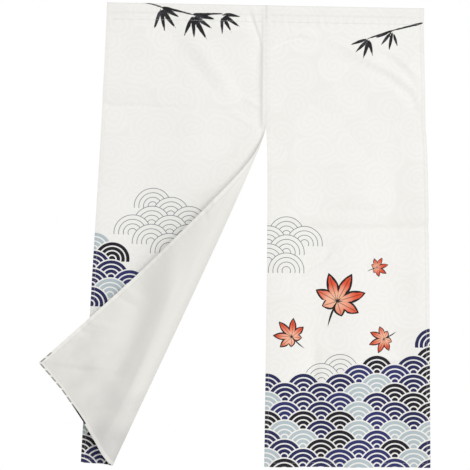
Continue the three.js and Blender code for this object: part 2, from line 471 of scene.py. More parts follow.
@dataclass(frozen=True)
class Hang(ABC):
    """How one panel hangs. What the panels share is their folds, creases and small unevenness.

    Attributes:
        cut: The panel's sizes.
        folds: Its soft folds.
        creases: Its creases.
        head_calm: Rod pocket to where the folds have their full height.
        head_smooth: Top edge to where the creases begin.
        head_ease: From there to where the creases have their full height.
        side_pucker: Waves along the side hems.
        side_skew: Width over which those waves are shifted by one radian.
        foot_pucker: Waves along the hem at the foot.
        head_pucker: Waves along the stitching of the rod pocket.
        waver: The slow unevenness.
    """

    cut: CutSizes
    folds: Folds
    creases: Folds
    head_calm: float = 120.0
    head_smooth: float = 6.0
    head_ease: float = 20.0
    side_pucker: Pucker = Pucker(23.0, 1.3, 61.0, 14.0)
    side_skew: float = 90.0
    foot_pucker: Pucker = Pucker(29.9, 0.9, 47.0, 14.0)
    head_pucker: Pucker = Pucker(23.0, 1.2, 53.0, 12.0)
    waver: SlowWaver = SlowWaver()

    @abstractmethod
    def place(self, u: Numbers, v: Numbers) -> Numbers:
        """Where points of the cloth hang.

        Args:
            u: Distances from the panel's left edge.
            v: Distances from its top edge.

        Returns:
            An array of points in millimetres.
        """

    def folded(self, folds: Folds, u: Numbers, v: Numbers) -> Numbers:
        """Sum of some folds' lifts, calmed below the rod pocket."""
        lifts = sum(fold.lift(u, v) for fold in folds)
        return lifts * soft(v, self.cut.pocket_drop, self.cut.pocket_drop + self.head_calm)

    def crumpled(self, creases: Folds, u: Numbers, v: Numbers) -> Numbers:
        """Lift of the creases, the drawn-in hems and the slow waver of hung cloth.

        Args:
            creases: The creases to sum.
            u: Distances from the panel's left edge.
            v: Distances from its top edge.

        Returns:
            The lift of each point.
        """
        cut = self.cut
        lift = sum(crease.lift(u, v) for crease in creases)
        lift = lift + self.side_pucker.lift(v, np.minimum(u, cut.width - u), u / self.side_skew)
        lift = lift + self.foot_pucker.lift(u, cut.drop - v)
        lift = lift + self.head_pucker.lift(u, np.abs(v - cut.pocket_drop))
        lift = lift + self.waver.lift(u, v)
        return lift * soft(v, self.head_smooth, self.head_smooth + self.head_ease)


@dataclass(frozen=True)
class RightHang(Hang):
    """The right panel, which hangs freely below the seam.

    Attributes:
        drift: How far it hangs to the right between the slit's top and its foot.
    """

    drift: float = 5.0

    def place(self, u: Numbers, v: Numbers) -> Numbers:
        """Where points of the cloth hang.

        Args:
            u: Distances from the seam.
            v: Distances from the top edge.

        Returns:
            An array of points in millimetres.
        """
        fall = share(v, self.cut.slit_top, self.cut.drop)
        x = self.cut.seam_gap / 2.0 + u + self.drift * np.sin(math.pi * np.sqrt(fall))
        y = -self.folded(self.folds, u, v) - self.crumpled(self.creases, u, v)
        return np.stack([x, y, -v], axis=-1)


@dataclass(frozen=True)
class LeftHang(Hang):
    """The left panel, whose lower slit-side corner is rolled back over its own front.

    Attributes:
        spread: How far its outer edge stands out at the slit's top.
        lean: How far it leans to the left at its foot.
        foot_rise: How far its outer corner is raised at the foot.
        fold_foot_x: Where the roll ends at the foot, across from the curtain's middle.
        fold_foot_z: Where it ends, up from the top edge.
        roll_radius: The roll's radius where it is fully open.
        roll_radius_top: Its radius at the slit's top.
        roll_taper: How fast it opens on the way down.
        roll_bow: How far it bows out between its ends.
        roll_calm: Distance from the roll at which folds have their full height.
        flap_rest: How far the flap stands before the cloth behind it.
        flap_settle: Distance past the roll over which it settles to that.
        flap_swing: How far it is swung up, as a share of the distance past the roll.
        slope_loss: Share of its reach that is lost to the slope as it settles.
        crease_lap: How far creases go on into the roll.
        crease_calm: Distance from the roll at which creases have their full height.
        wrinkle_calm: The same for the flap's own creases.
        flap_folds: The flap's soft folds.
        flap_creases: Its creases.
        foot_drag: How far its foot is drawn down.
    """

    spread: float = 8.0
    lean: float = 31.0
    foot_rise: float = 10.0
    fold_foot_x: float = -379.0
    fold_foot_z: float = -1197.0
    roll_radius: float = 32.0
    roll_radius_top: float = 4.0
    roll_taper: float = 105.0
    roll_bow: float = 9.0
    roll_calm: float = 60.0
    flap_rest: float = 24.0
    flap_settle: float = 95.0
    flap_swing: float = 0.08
    slope_loss: float = 0.31
    crease_lap: float = 4.0
    crease_calm: float = 16.0
    wrinkle_calm: float = 20.0
    flap_folds: Folds = FLAP_FOLDS
    flap_creases: Folds = FLAP_CREASES
    foot_drag: SoftFold = FOOT_DRAG

    def spread_out(self, u: Numbers, v: Numbers) -> tuple[Numbers, Numbers]:
        """Where points would hang with the corner not turned back, as x and z.

        Args:
            u: Distances from the outer edge.
            v: Distances from the top edge.

        Returns:
            Their places across from the curtain's middle, and up from its top edge.
        """
        cut = self.cut
        from_seam = 1.0 - u / cut.width
        spread = self.spread * share(v, 0.0, cut.slit_top) * from_seam
        lean = self.lean * share(v, cut.slit_top, cut.drop)
        rise = self.foot_rise * from_seam**4 * (v / cut.drop) ** 2
        return u - cut.width - cut.seam_gap / 2.0 - spread - lean, rise - v

    def flap(self, past: Numbers, radius: Numbers) -> tuple[Numbers, Numbers]:
        """How far the flap stands forward and reaches past the roll.

        Args:
            past: Distances along the cloth past the roll.
            radius: The roll's radius there.

        Returns:
            The lift and the reach of each point.
        """
        fall = 2.0 * radius - np.minimum(self.flap_rest, 2.0 * radius)
        settled = 1.0 - np.exp(-((past / self.flap_settle) ** 2))
        loss = self.slope_loss * fall * fall / self.flap_settle
        return 2.0 * radius - fall * settled, past - loss * settled

    def place(self, u: Numbers, v: Numbers) -> Numbers:
        """Where points of the cloth hang: behind, round the roll, and over the front as a flap.

        Args:
            u: Distances from the outer edge.
            v: Distances from the top edge.

        Returns:
            An array of points in millimetres.
        """
        top_x, top_z = self.spread_out(np.array(self.cut.width), np.array(self.cut.slit_top))
        length = math.hypot(self.fold_foot_x - top_x, self.fold_foot_z - top_z)
        along_x = (self.fold_foot_x - top_x) / length
        along_z = (self.fold_foot_z - top_z) / length
        flat_x, flat_z = self.spread_out(u, v)
        t = (flat_x - top_x) * along_x + (flat_z - top_z) * along_z
        behind = (flat_x - top_x) * along_z - (flat_z - top_z) * along_x
        opened = 1.0 - np.exp(-np.maximum(t, 0.0) / self.roll_taper)
        radius = self.roll_radius_top + (self.roll_radius - self.roll_radius_top) * opened
        bow = self.roll_bow * np.sin(math.pi * np.sqrt(share(t, 0.0, length)))

        rolled = radius - bow - behind
        turn = np.clip(rolled / radius, 0.0, math.pi)
        past = np.maximum(rolled - math.pi * radius, 0.0)
        creases = self.crumpled(self.creases, u, v)
        rear_lift = soft(-rolled, 0.0, self.roll_calm) * self.folded(self.folds, u, v)
        rear_lift = rear_lift + creases * soft(-rolled, -self.crease_lap, self.crease_calm)
        wrinkles = self.crumpled(self.flap_creases, u, v)
        flap_lift, reach = self.flap(past, radius)
        flap_lift = flap_lift + soft(past, 0.0, self.roll_calm) * self.folded(self.flap_folds, u, v)
        flap_lift = flap_lift + soft(past, 0.0, self.wrinkle_calm) * wrinkles

        rear = rolled <= 0.0
        lift = np.where(past > 0.0, flap_lift, radius * (1.0 - np.cos(turn)))
        lift = np.where(rear, rear_lift, lift)
        across = np.where(rear, behind, radius * (1.0 - np.sin(turn)) - bow + reach)
        t = t - self.flap_swing * past + self.foot_drag.lift(u, v)
        x = top_x + along_x * t + along_z * across
        z = top_z + along_z * t - along_x * across
        return np.stack([x, -lift, z], axis=-1)


class Field:
    """A value that varies over a surface, with the arithmetic that a pattern needs."""

    def __init__(self, graph: "Graph", socket: bpy.types.NodeSocket) -> None:
        """Keeps the node socket that gives the value."""
        self.graph = graph
        self.socket = socket

    def __add__(self, other: "Value") -> "Field":
        """The sum."""
        return self.graph.math("ADD", self, other)

    def __sub__(self, other: "Value") -> "Field":
        """The difference."""
        return self.graph.math("SUBTRACT", self, other)

    def __mul__(self, other: "Value") -> "Field":
        """The product."""
        return self.graph.math("MULTIPLY", self, other)

    def __truediv__(self, other: "Value") -> "Field":
        """The quotient."""
        return self.graph.math("DIVIDE", self, other)

    def __rsub__(self, other: float) -> "Field":
        """A number less the value."""
        return self.graph.math("SUBTRACT", other, self)

    def __lt__(self, other: "Value") -> "Field":
        """1 where the value is less, else 0."""
        return self.graph.math("LESS_THAN", self, other)

    def __gt__(self, other: "Value") -> "Field":
        """1 where the value is greater, else 0."""
        return self.graph.math("GREATER_THAN", self, other)

    def __abs__(self) -> "Field":
        """The size of the value."""
        return self.graph.math("ABSOLUTE", self)


Value = Field | float
Paint = Field | Colour
Feeds = dict[str | int, object]


class Graph:
    """Short calls for building the nodes of a material or a surround."""

    # Places of the colour sockets on a Mix node
    first_colour = 6
    second_colour = 7
    mixed_colour = 2

    def __init__(self, owner: "bpy.types.Material | bpy.types.World") -> None:
        """Empties the owner's node tree.

        Args:
            owner: The material or the surround.
        """
        owner.use_nodes = True
        self.tree = owner.node_tree
        self.tree.nodes.clear()

    def node(self, kind: str, feeds: Feeds | None = None, **settings: object) -> bpy.types.Node:
        """Adds a node.

        Args:
            kind: The node's type, without its ShaderNode prefix.
            feeds: Fields and constants for its inputs, by their names or places.
            **settings: Properties to set on it.

        Returns:
            The new node.
        """
        made = self.tree.nodes.new("ShaderNode" + kind)
        for name, value in settings.items():
            setattr(made, name, value)
        for socket, value in (feeds or {}).items():
            if isinstance(value, Field):
                self.tree.links.new(value.socket, made.inputs[socket])
            else:
                made.inputs[socket].default_value = value
        return made

    def field(self, kind: str, feeds: Feeds | None = None, output: str | int = 0,
              **settings: object) -> Field:
        """Adds a node and takes one of its outputs."""
        return Field(self, self.node(kind, feeds, **settings).outputs[output])

    def math(self, operation: str, *values: Value) -> Field:
        """One arithmetic step, by Blender's name of the operation."""
        return self.field("Math", dict(enumerate(values)), operation=operation)

    def least(self, values: list[Field]) -> Field:
        """The least of some fields."""
        return reduce(lambda one, other: self.math("MINIMUM", one, other), values)

    def most(self, values: list[Field]) -> Field:
        """The greatest of some fields."""
        return reduce(lambda one, other: self.math("MAXIMUM", one, other), values)

    def length(self, x: Field, y: Field) -> Field:
        """How long a step of x across and y up is."""
        return self.math("SQRT", x * x + y * y)

    def vector(self, x: Value, y: Value) -> Field:
        """Two values as one vector."""
        return self.field("CombineXYZ", {0: x, 1: y})

    def parts(self, vector: Field) -> tuple[Field, ...]:
        """The three values of a vector."""
        made = self.node("SeparateXYZ", {0: vector})
        return tuple(Field(self, socket) for socket in made.outputs)

    def ease(self, value: Field, low: float, high: float) -> Field:
        """0 at low and 1 at high, with eased ends."""
        feeds = {"Value": value, "From Min": low, "From Max": high}
        return self.field("MapRange", feeds, interpolation_type="SMOOTHSTEP")

    def mix(self, factor: Value, first: Paint, second: Paint) -> Field:
        """Colours from the first, where the factor is 0, to the second, where it is 1."""
        feeds = {0: factor, self.first_colour: first, self.second_colour: second}
        return self.field("Mix", feeds, self.mixed_colour, data_type="RGBA")

    def noise(self, place: Field, scale: float = 1.0, grain: Grain = Grain.PLAIN) -> Field:
        """Cloudy noise between 0 and 1 over two dimensions."""
        feeds = {"Vector": place, "Scale": scale, "Detail": grain.value}
        return self.field("TexNoise", feeds, noise_dimensions="2D")

    def sway(self, place: Field, scale: float, span: float, grain: Grain = Grain.PLAIN) -> Field:
        """Cloudy noise to both sides of 0, with a given span."""
        return (self.noise(place, scale, grain) - 0.5) * span

    def chance(self, x: Field, y: Field) -> Field:
        """A random number between 0 and 1 for each pair of values."""
        return self.field("TexWhiteNoise", {"Vector": self.vector(x, y)}, "Value", noise_dimensions="2D")

    def attribute(self, name: str, output: str) -> Field:
        """A value stored on the mesh."""
        return self.field("Attribute", output=output, attribute_name=name)

    def surface(self, colour: Field, roughness: float, feeds: Feeds | None = None) -> None:
        """Ends a material in its surface.

        Args:
            colour: Its colour.
            roughness: Its roughness.
            feeds: Fields and constants for other inputs of the shader.
        """
        feeds = {"Base Color": colour, "Roughness": roughness} | (feeds or {})
        self.node("OutputMaterial", {0: self.field("BsdfPrincipled", feeds)})


class CutGraph(Graph):
    """The nodes of one face of a panel, with the places on the whole curtain's cut to hand.

    Attributes:
        place: Places as a vector, in metres.
        x_m: Places across from the left edge, in metres.
        y_m: Places up from the top edge, in metres.
        x: The same across, in millimetres.
        y: The same up, in millimetres.
    """

    def __init__(self, owner: bpy.types.Material) -> None:
        """Starts from the panel's map of its cut.

        Args:
            owner: The material of the face.
        """
        super().__init__(owner)
        self.place = self.field("UVMap", uv_map=CUT_MAP)
        self.x_m, self.y_m, _ = self.parts(self.place)
        self.x = self.x_m / MM
        self.y = self.y_m / MM


@dataclass(frozen=True)
class ScalePatch:
    """An oval of the cloth that wave scales cover, on the whole curtain's cut.

    Attributes:
        x: Its middle across.
        v: Its middle down.
        half_width: Half its width.
        half_height: Half its height.
        filled: If its scales are filled, and not in outline only.
    """

    x: float
    v: float
    half_width: float
    half_height: float
    filled: bool = True

    def outside(self, g: Graph, x: Field, y: Field) -> Field:
        """How far places lie outside the oval, negative inside it.

        Args:
            g: The node graph.
            x: Places across the curtain.
            y: Places up from its top edge.

        Returns:
            The distances.
        """
        across = (x - self.x) / self.half_width
        down = (y + self.v) / self.half_height
        return (g.length(across, down) - 1.0) * min(self.half_width, self.half_height)


@dataclass(frozen=True)
class WaveScales:
    """Overlapping rows of ringed scales, a traditional wave repeat with torn edges.

    Attributes:
        patches: Where the scales are.
        radius: Radius of a scale.
        rings: Rings in a scale.
        layers: Rows of scales that can overlap in one place.
        tear: How unevenly the patches end.
        skirt: Share of the radius by which a scale goes on below its middle.
        white_line: Width of the pale lines between filled rings.
        thin_line: Width of the lines of scales in outline.
        indigo_from: Chance from which a scale is indigo, and not navy.
        night_from: Chance from which it is blue-black.
        mist_from: Chance from which it is grey-blue.
    """

    patches: tuple[ScalePatch, ...]
    radius: float = 47.0
    rings: int = 4
    layers: int = 3
    tear: float = 40.0
    skirt: float = 0.12
    white_line: float = 3.4
    thin_line: float = 1.7
    indigo_from: float = 0.42
    night_from: float = 0.62
    mist_from: float = 0.78

    def outside(self, g: Graph, x: Field, y: Field) -> tuple[Field, Field]:
        """How far places lie outside the nearest patch, negative inside it.

        Args:
            g: The node graph.
            x: Places across the curtain.
            y: Places up from its top edge.

        Returns:
            The distance outside the filled patches, and outside all patches.
        """
        every = [patch.outside(g, x, y) for patch in self.patches]
        filled = [out for patch, out in zip(self.patches, every) if patch.filled]
        return g.least(filled), g.least(every)

    def paint(self, g: CutGraph, ground: Field) -> Field:
        """Draws the scales over a ground colour.

        Args:
            g: The node graph.
            ground: The colour under the scales.

        Returns:
            The colour with the scales on it.
        """
        size = self.radius
        pitch = size / 2.0
        lowest = g.math("CEIL", (g.y - size) / pitch)
        covered: Field | None = None
        picked: tuple[Field, ...] = ()
        for step in range(self.layers):
            row = lowest + float(step)
            shift = g.math("FLOORED_MODULO", row, 2.0) * size
            centre_x = g.math("ROUND", (g.x - shift) / (2.0 * size)) * (2.0 * size) + shift
            centre_y = row * pitch
            away_y = g.y - centre_y
            away = g.length(g.x - centre_x, away_y)
            luck = g.chance(centre_x, centre_y)
            filled, every = self.outside(g, centre_x, centre_y)
            torn = (luck - 0.5) * self.tear
            here = (away < size) * (away_y > -self.skirt * size) * (every + torn < 0.0)
            if covered is not None:
                here = here * (1.0 - covered)
            values = (away * here, luck * here, (filled + torn) * here)
            if covered is None:
                picked, covered = values, here
            else:
                picked = tuple(one + other for one, other in zip(picked, values))
                covered = covered + here
        away, luck, filled = picked

        ring = g.math("FRACT", away * (self.rings / size))
        from_ring = (1.0 - ring) * (size / self.rings)
        tint = g.mix(luck > self.indigo_from, Dye.NAVY.linear, Dye.INDIGO.linear)
        tint = g.mix(luck > self.night_from, tint, Dye.NIGHT.linear)
        tint = g.mix(luck > self.mist_from, tint, Dye.MIST.linear)
        solid = g.mix(from_ring < self.white_line, tint, Dye.CLOTH.linear)
        lined = g.mix(from_ring < self.thin_line, Dye.CLOTH.linear, Dye.LINE.linear)
        return g.mix(covered, ground, g.mix(filled < 0.0, lined, solid))


@dataclass(frozen=True)
class MapleLeaf:
    """One drifting maple leaf: its middle on the whole cut, reach and turn."""

    x: float
    v: float
    reach: float
    turn_deg: float


@dataclass(frozen=True)
class MapleLeaves:
    """Maple leaves in coral and peach with brushed outlines, drawn in shares of each leaf's reach.

    Attributes:
        leaves: The leaves.
        name: Name of the attribute that holds places in the leaves.
        far: What that attribute says where no leaf is near.
        bound: Distance from a leaf's middle past which none of it is drawn.
        lobe_half: Half the width of a lobe.
        lobe_step: Angle from lobe to lobe.
        last_lobe: Lobes to each side of the middle one.
        shorten: How much shorter the outer lobes are.
        blush_scale: How fine the blush is.
        blush: How much the blush shifts the colours.
        peach_to: Where peach begins to give way.
        coral_from: Where coral is full.
        vein_half: Half the width of a vein.
        vein_end: Where the veins end along their lobes.
        vein_ink: How dark the veins are.
        outline: Where the outline ends, outside a lobe.
        outline_from: Where it would start under an even brush.
        brush_scale: How fine the brush's unevenness is.
        brush: How far that widens the outline inwards.
        stalk_bend: How far the stalk bends.
        stalk_half: Half its width.
        stalk_run: Half its length.
    """

    leaves: tuple[MapleLeaf, ...]
    name: str = "maple"
    far: float = 9.0
    bound: float = 1.1
    lobe_half: float = 0.17
    lobe_step: float = math.pi / 4.0
    last_lobe: float = 3.0
    shorten: float = 0.055
    blush_scale: float = 16.0
    blush: float = 0.7
    peach_to: float = 0.35
    coral_from: float = 1.15
    vein_half: float = 0.016
    vein_end: float = 0.86
    vein_ink: float = 0.55
    outline: float = 0.16
    outline_from: float = 0.02
    brush_scale: float = 55.0
    brush: float = 0.5
    stalk_bend: float = 0.16
    stalk_half: float = 0.034
    stalk_run: float = 0.44

    def store(self, mesh: bpy.types.Mesh, x: Numbers, v: Numbers) -> None:
        """Stores each vertex's place in its nearest leaf.

        Args:
            mesh: The panel's mesh.
            x: The vertices' places across the curtain.
            v: Their places below its top edge.
        """
        places = np.full((len(x), 3), self.far)
        for leaf in self.leaves:
            turn = math.radians(leaf.turn_deg)
            right = (x - leaf.x) / leaf.reach
            up = (leaf.v - v) / leaf.reach
            local_x = right * math.cos(turn) + up * math.sin(turn)
            local_y = up * math.cos(turn) - right * math.sin(turn)
            out = np.hypot(right, up)
            near = out < places[:, 2]
            places[near] = np.stack([local_x, local_y, out], axis=-1)[near]
        layer = mesh.attributes.new(self.name, "FLOAT_VECTOR", "POINT")
        layer.data.foreach_set("vector", places.astype(np.float32).ravel())

    def paint(self, g: CutGraph, ground: Field) -> Field:
        """Draws the leaves over a ground colour.

        Args:
            g: The node graph.
            ground: The colour under the leaves.

        Returns:
            The colour with the leaves on it.
        """
        local_x, local_y, out = g.parts(g.attribute(self.name, "Vector"))
        angle = g.math("ARCTAN2", local_x, local_y)
        lobe = g.math("MINIMUM", g.math("ROUND", angle / self.lobe_step), self.last_lobe)
        lobe = g.math("MAXIMUM", lobe, -self.last_lobe)
        off = angle - lobe * self.lobe_step
        along = out * g.math("COSINE", off) / (1.0 - lobe * lobe * self.shorten)
        across = abs(out * g.math("SINE", off))
        middle = along * 2.0 - 1.0
        edge = across / self.lobe_half + middle * middle - 1.0
        inside = out < self.bound

        flushed = out + g.noise(g.place, self.blush_scale) * self.blush
        fill = g.ease(flushed, self.peach_to, self.coral_from)
        fill = g.mix(fill, Dye.PEACH.linear, Dye.CORAL.linear)
        vein = (across < self.vein_half) * (along < self.vein_end)
        fill = g.mix(vein * self.vein_ink, fill, Dye.SUMI.linear)
        colour = g.mix((edge < 0.0) * inside, ground, fill)
        brush = g.noise(g.place, self.brush_scale, Grain.FINE) * self.brush
        stroke = (edge < self.outline) * (edge + brush > self.outline_from) * inside
        stalk_off = abs(local_x - local_y * local_y * self.stalk_bend) / self.stalk_half
        stalk_run = (local_y + self.stalk_run) / self.stalk_run
        stalk = (stalk_off + stalk_run * stalk_run < 1.0) * inside
        return g.mix(g.most([stroke, stalk]), colour, Dye.SUMI.linear)


@dataclass(frozen=True)
class LeafTuft:
    """A tuft of hanging bamboo leaves on the whole cut.

    Attributes:
        x: Where it hangs, across.
        v: Where it hangs, down.
        lean_deg: How its middle leans to the right.
        count: Its leaves.
        fan_deg: Angle from leaf to leaf.
        length: Length of its longest leaf.
    """

    x: float
    v: float
    lean_deg: float
    count: int
    fan_deg: float
    length: float


@dataclass(frozen=True)
class InkSpray:
    """Bamboo leaves and their twigs, brushed in ink.

    Attributes:
        tufts: The tufts of leaves.
        twigs: Each twig's start and end, as x and v.
        name: Name of the attribute that holds distances outside the strokes.
        limit: The greatest distance that it holds.
        leaf_share: A leaf's width for its length.
        leaf_taper: How late a leaf narrows.
        fan_shorten: How much shorter leaves are to the sides of a tuft.
        odd_shorten: How much shorter every other leaf is.
        gap: Distance from the twig at which leaves start.
        twig_half: Half a twig's width.
        twig_taper: How late a twig narrows.
        belly: How much wider a stroke is near its start.
        rag_scale: How fine the ragged edge is.
        rag: How ragged the edge is.
        blur: How soft the edge is.
        dry_scale: How fine the dry places are.
        dry_from: Noise at which the brush starts to run dry.
        dry_full: Noise at which it is quite dry.
        dry_pale: How pale the ink is then.
    """

    tufts: tuple[LeafTuft, ...]
    twigs: tuple[tuple[float, float, float, float], ...]
    name: str = "ink"
    limit: float = 30.0
    leaf_share: float = 0.14
    leaf_taper: float = 2.0
    fan_shorten: float = 0.1
    odd_shorten: float = 0.07
    gap: float = 5.0
    twig_half: float = 2.4
    twig_taper: float = 9.0
    belly: float = 0.4
    rag_scale: float = 90.0
    rag: float = 1.6
    blur: float = 0.5
    dry_scale: float = 42.0
    dry_from: float = 0.42
    dry_full: float = 0.9
    dry_pale: float = 0.3

    def stroke(self, x: Numbers, v: Numbers, start: tuple[float, float], end: tuple[float, float],
               half: float, taper: float) -> Numbers:
        """Distance outside one pointed stroke, negative inside it.

        Args:
            x: Places across the curtain.
            v: Places below its top edge.
            start: Where the stroke starts.
            end: Where it ends.
            half: Half its greatest width.
            taper: How late it narrows, from 2 for a leaf.

        Returns:
            The distance of each place.
        """
        run = np.array(end) - np.array(start)
        half_length = math.hypot(*run) / 2.0
        way = run / (2.0 * half_length)
        off_x = x - (start[0] + end[0]) / 2.0
        off_v = v - (start[1] + end[1]) / 2.0
        along = (off_x * way[0] + off_v * way[1]) / half_length
        across = np.abs(off_v * way[0] - off_x * way[1])
        kept = np.clip(along, -1.0, 1.0)
        width = half * (1.0 - np.abs(kept) ** taper) * (1.0 - self.belly * kept)
        return np.maximum(across - width, (np.abs(along) - 1.0) * half_length)

    def store(self, mesh: bpy.types.Mesh, x: Numbers, v: Numbers) -> None:
        """Stores each vertex's distance outside the nearest stroke.

        Args:
            mesh: The panel's mesh.
            x: The vertices' places across the curtain.
            v: Their places below its top edge.
        """
        nearest = np.full(len(x), self.limit)
        for tuft in self.tufts:
            for i in range(tuft.count):
                fan = i - (tuft.count - 1) / 2.0
                turn = math.radians(tuft.lean_deg + tuft.fan_deg * fan)
                way = (math.sin(turn), math.cos(turn))
                reach = tuft.length * (1.0 - self.fan_shorten * abs(fan))
                reach = reach * (1.0 - self.odd_shorten * (i % 2))
                start = (tuft.x + way[0] * self.gap, tuft.v + way[1] * self.gap)
                end = (tuft.x + way[0] * reach, tuft.v + way[1] * reach)
                half = self.leaf_share * reach / 2.0
                nearest = np.minimum(nearest, self.stroke(x, v, start, end, half, self.leaf_taper))
        for from_x, from_v, to_x, to_v in self.twigs:
            start, end = (from_x, from_v), (to_x, to_v)
            twig = self.stroke(x, v, start, end, self.twig_half, self.twig_taper)
            nearest = np.minimum(nearest, twig)
        layer = mesh.attributes.new(self.name, "FLOAT", "POINT")
        layer.data.foreach_set("value", nearest.astype(np.float32))

    def paint(self, g: CutGraph, ground: Field) -> Field:
        """Draws the strokes over a ground colour.

        Args:
            g: The node graph.
            ground: The colour under the ink.

        Returns:
            The colour with the strokes on it.
        """
        ragged = g.attribute(self.name, "Fac") + g.sway(g.place, self.rag_scale, self.rag, Grain.FINE)
        dry = g.ease(g.noise(g.place, self.dry_scale, Grain.FINE), self.dry_from, self.dry_full)
        ink = g.mix(dry * self.dry_pale, Dye.SUMI.linear, Dye.LINE.linear)
        return g.mix(g.ease(ragged, self.blur, -self.blur), ground, ink)


@dataclass(frozen=True)
class ScrollGround:
    """A faint all-over repeat of curls, tone on tone, under the print.

    Attributes:
        cell: Distance from curl to curl.
        loose: How unevenly they are set.
        pitch: Distance from turn to turn of a curl.
        line: Share of the pitch that its line takes.
        blur: How soft the line's edges are.
        curl_end: Radius at which the longest curls end.
        end_spread: How many turns sooner others end.
        end_fade: Turns over which a curl fades out.
        start_spread: How unevenly the curls are turned.
        bend: How far noise pushes them out of round, in metres.
        bend_scale: How fine that noise is.
        strength: How plain the lines are.
        glow: How much paler some curls are all over.
    """

    cell: float = 70.0
    loose: float = 0.7
    pitch: float = 14.0
    line: float = 0.45
    blur: float = 0.1
    curl_end: float = 60.0
    end_spread: float = 1.1
    end_fade: float = 0.5
    start_spread: float = 7.0
    bend: float = 0.024
    bend_scale: float = 14.0
    strength: float = 0.25
    glow: float = 0.26

    def paint(self, g: CutGraph) -> Field:
        """Draws the curls.

        Args:
            g: The node graph.

        Returns:
            The cloth's ground colour.
        """
        x = g.x_m + g.sway(g.place, self.bend_scale, self.bend, Grain.SOFT)
        y = g.y_m + g.sway(g.vector(g.y_m, x), self.bend_scale, self.bend, Grain.SOFT)
        feeds = {"Vector": g.vector(x, y), "Scale": 1.0 / (self.cell * MM), "Randomness": self.loose}
        cells = g.node("TexVoronoi", feeds, voronoi_dimensions="2D", feature="F1")
        middle_x, middle_y, _ = g.parts(Field(g, cells.outputs["Position"]))
        hand, bloom, _ = g.parts(Field(g, cells.outputs["Color"]))
        away_x = x - middle_x
        away_y = y - middle_y
        out = g.length(away_x, away_y) / (self.pitch * MM)
        turn = g.math("ARCTAN2", away_y, away_x) / (2.0 * math.pi)
        turn = turn * ((hand > 0.5) * 2.0 - 1.0) + hand * self.start_spread
        wave = abs(g.math("FRACT", out + turn) - 0.5) * 2.0
        edge = 1.0 - self.line
        curl = g.ease(wave, edge - self.blur, edge + self.blur)
        end = self.curl_end / self.pitch
        fade = g.ease(out + hand * self.end_spread, end, end - self.end_fade)
        tone = (curl * self.strength + bloom * self.glow) * fade
        return g.mix(tone, Dye.CLOTH.linear, Dye.SCROLL.linear)


@dataclass(frozen=True)
class ClothPrint:
    """All that is dyed into the front of both panels."""

    scales: WaveScales
    maple: MapleLeaves
    ink: InkSpray
    ground: ScrollGround = ScrollGround()

    def paint(self, g: CutGraph) -> Field:
        """Draws the whole print.

        Args:
            g: The node graph.

        Returns:
            The dyed colours.
        """
        colour = self.ground.paint(g)
        for layer in (self.scales, self.maple, self.ink):
            colour = layer.paint(g, colour)
        return colour


PRINT = ClothPrint(
    scales=WaveScales(
        patches=(
            ScalePatch(210, 1330, 430, 300),
            ScalePatch(820, 1340, 330, 425),
            ScalePatch(470, 1310, 280, 300),
            ScalePatch(-10, 735, 125, 92),
            ScalePatch(185, 600, 100, 62, filled=False),
            ScalePatch(430, 640, 82, 52, filled=False),
            ScalePatch(640, 985, 90, 46, filled=False),
        )
    ),
    maple=MapleLeaves(
        leaves=(
            MapleLeaf(602, 782, 78, -28),
            MapleLeaf(486, 874, 50, 41),
            MapleLeaf(724, 876, 42, 112),
            MapleLeaf(704, 694, 31, -75),
        )
    ),
    ink=InkSpray(
        tufts=(
            LeafTuft(142, 14, 24, 4, 27, 74),
            LeafTuft(226, 30, 30, 5, 25, 80),
            LeafTuft(302, 26, 42, 4, 26, 66),
            LeafTuft(756, 62, -24, 4, 27, 62),
            LeafTuft(694, 84, -30, 4, 26, 66),
        ),
        twigs=(
            (70, -6, 150, 16),
            (146, 14, 232, 32),
            (226, 30, 308, 27),
            (838, 40, 748, 64),
            (758, 62, 688, 86),
        ),
    ),
)


@dataclass(frozen=True)
class SewnLineShade:
    """The faint painted shade along a line of sewing or a turned edge.

    Attributes:
        reach: Distance from the line at which the shade has gone.
        core: Distance up to which it is full.
        shade: How dark the painted shade is.
    """

    reach: float
    core: float
    shade: float

    def mark(self, g: Graph, away: Field) -> Field:
        """How dark the painted shade makes places, by their distances from the line."""
        return g.ease(away, self.reach, self.core) * self.shade


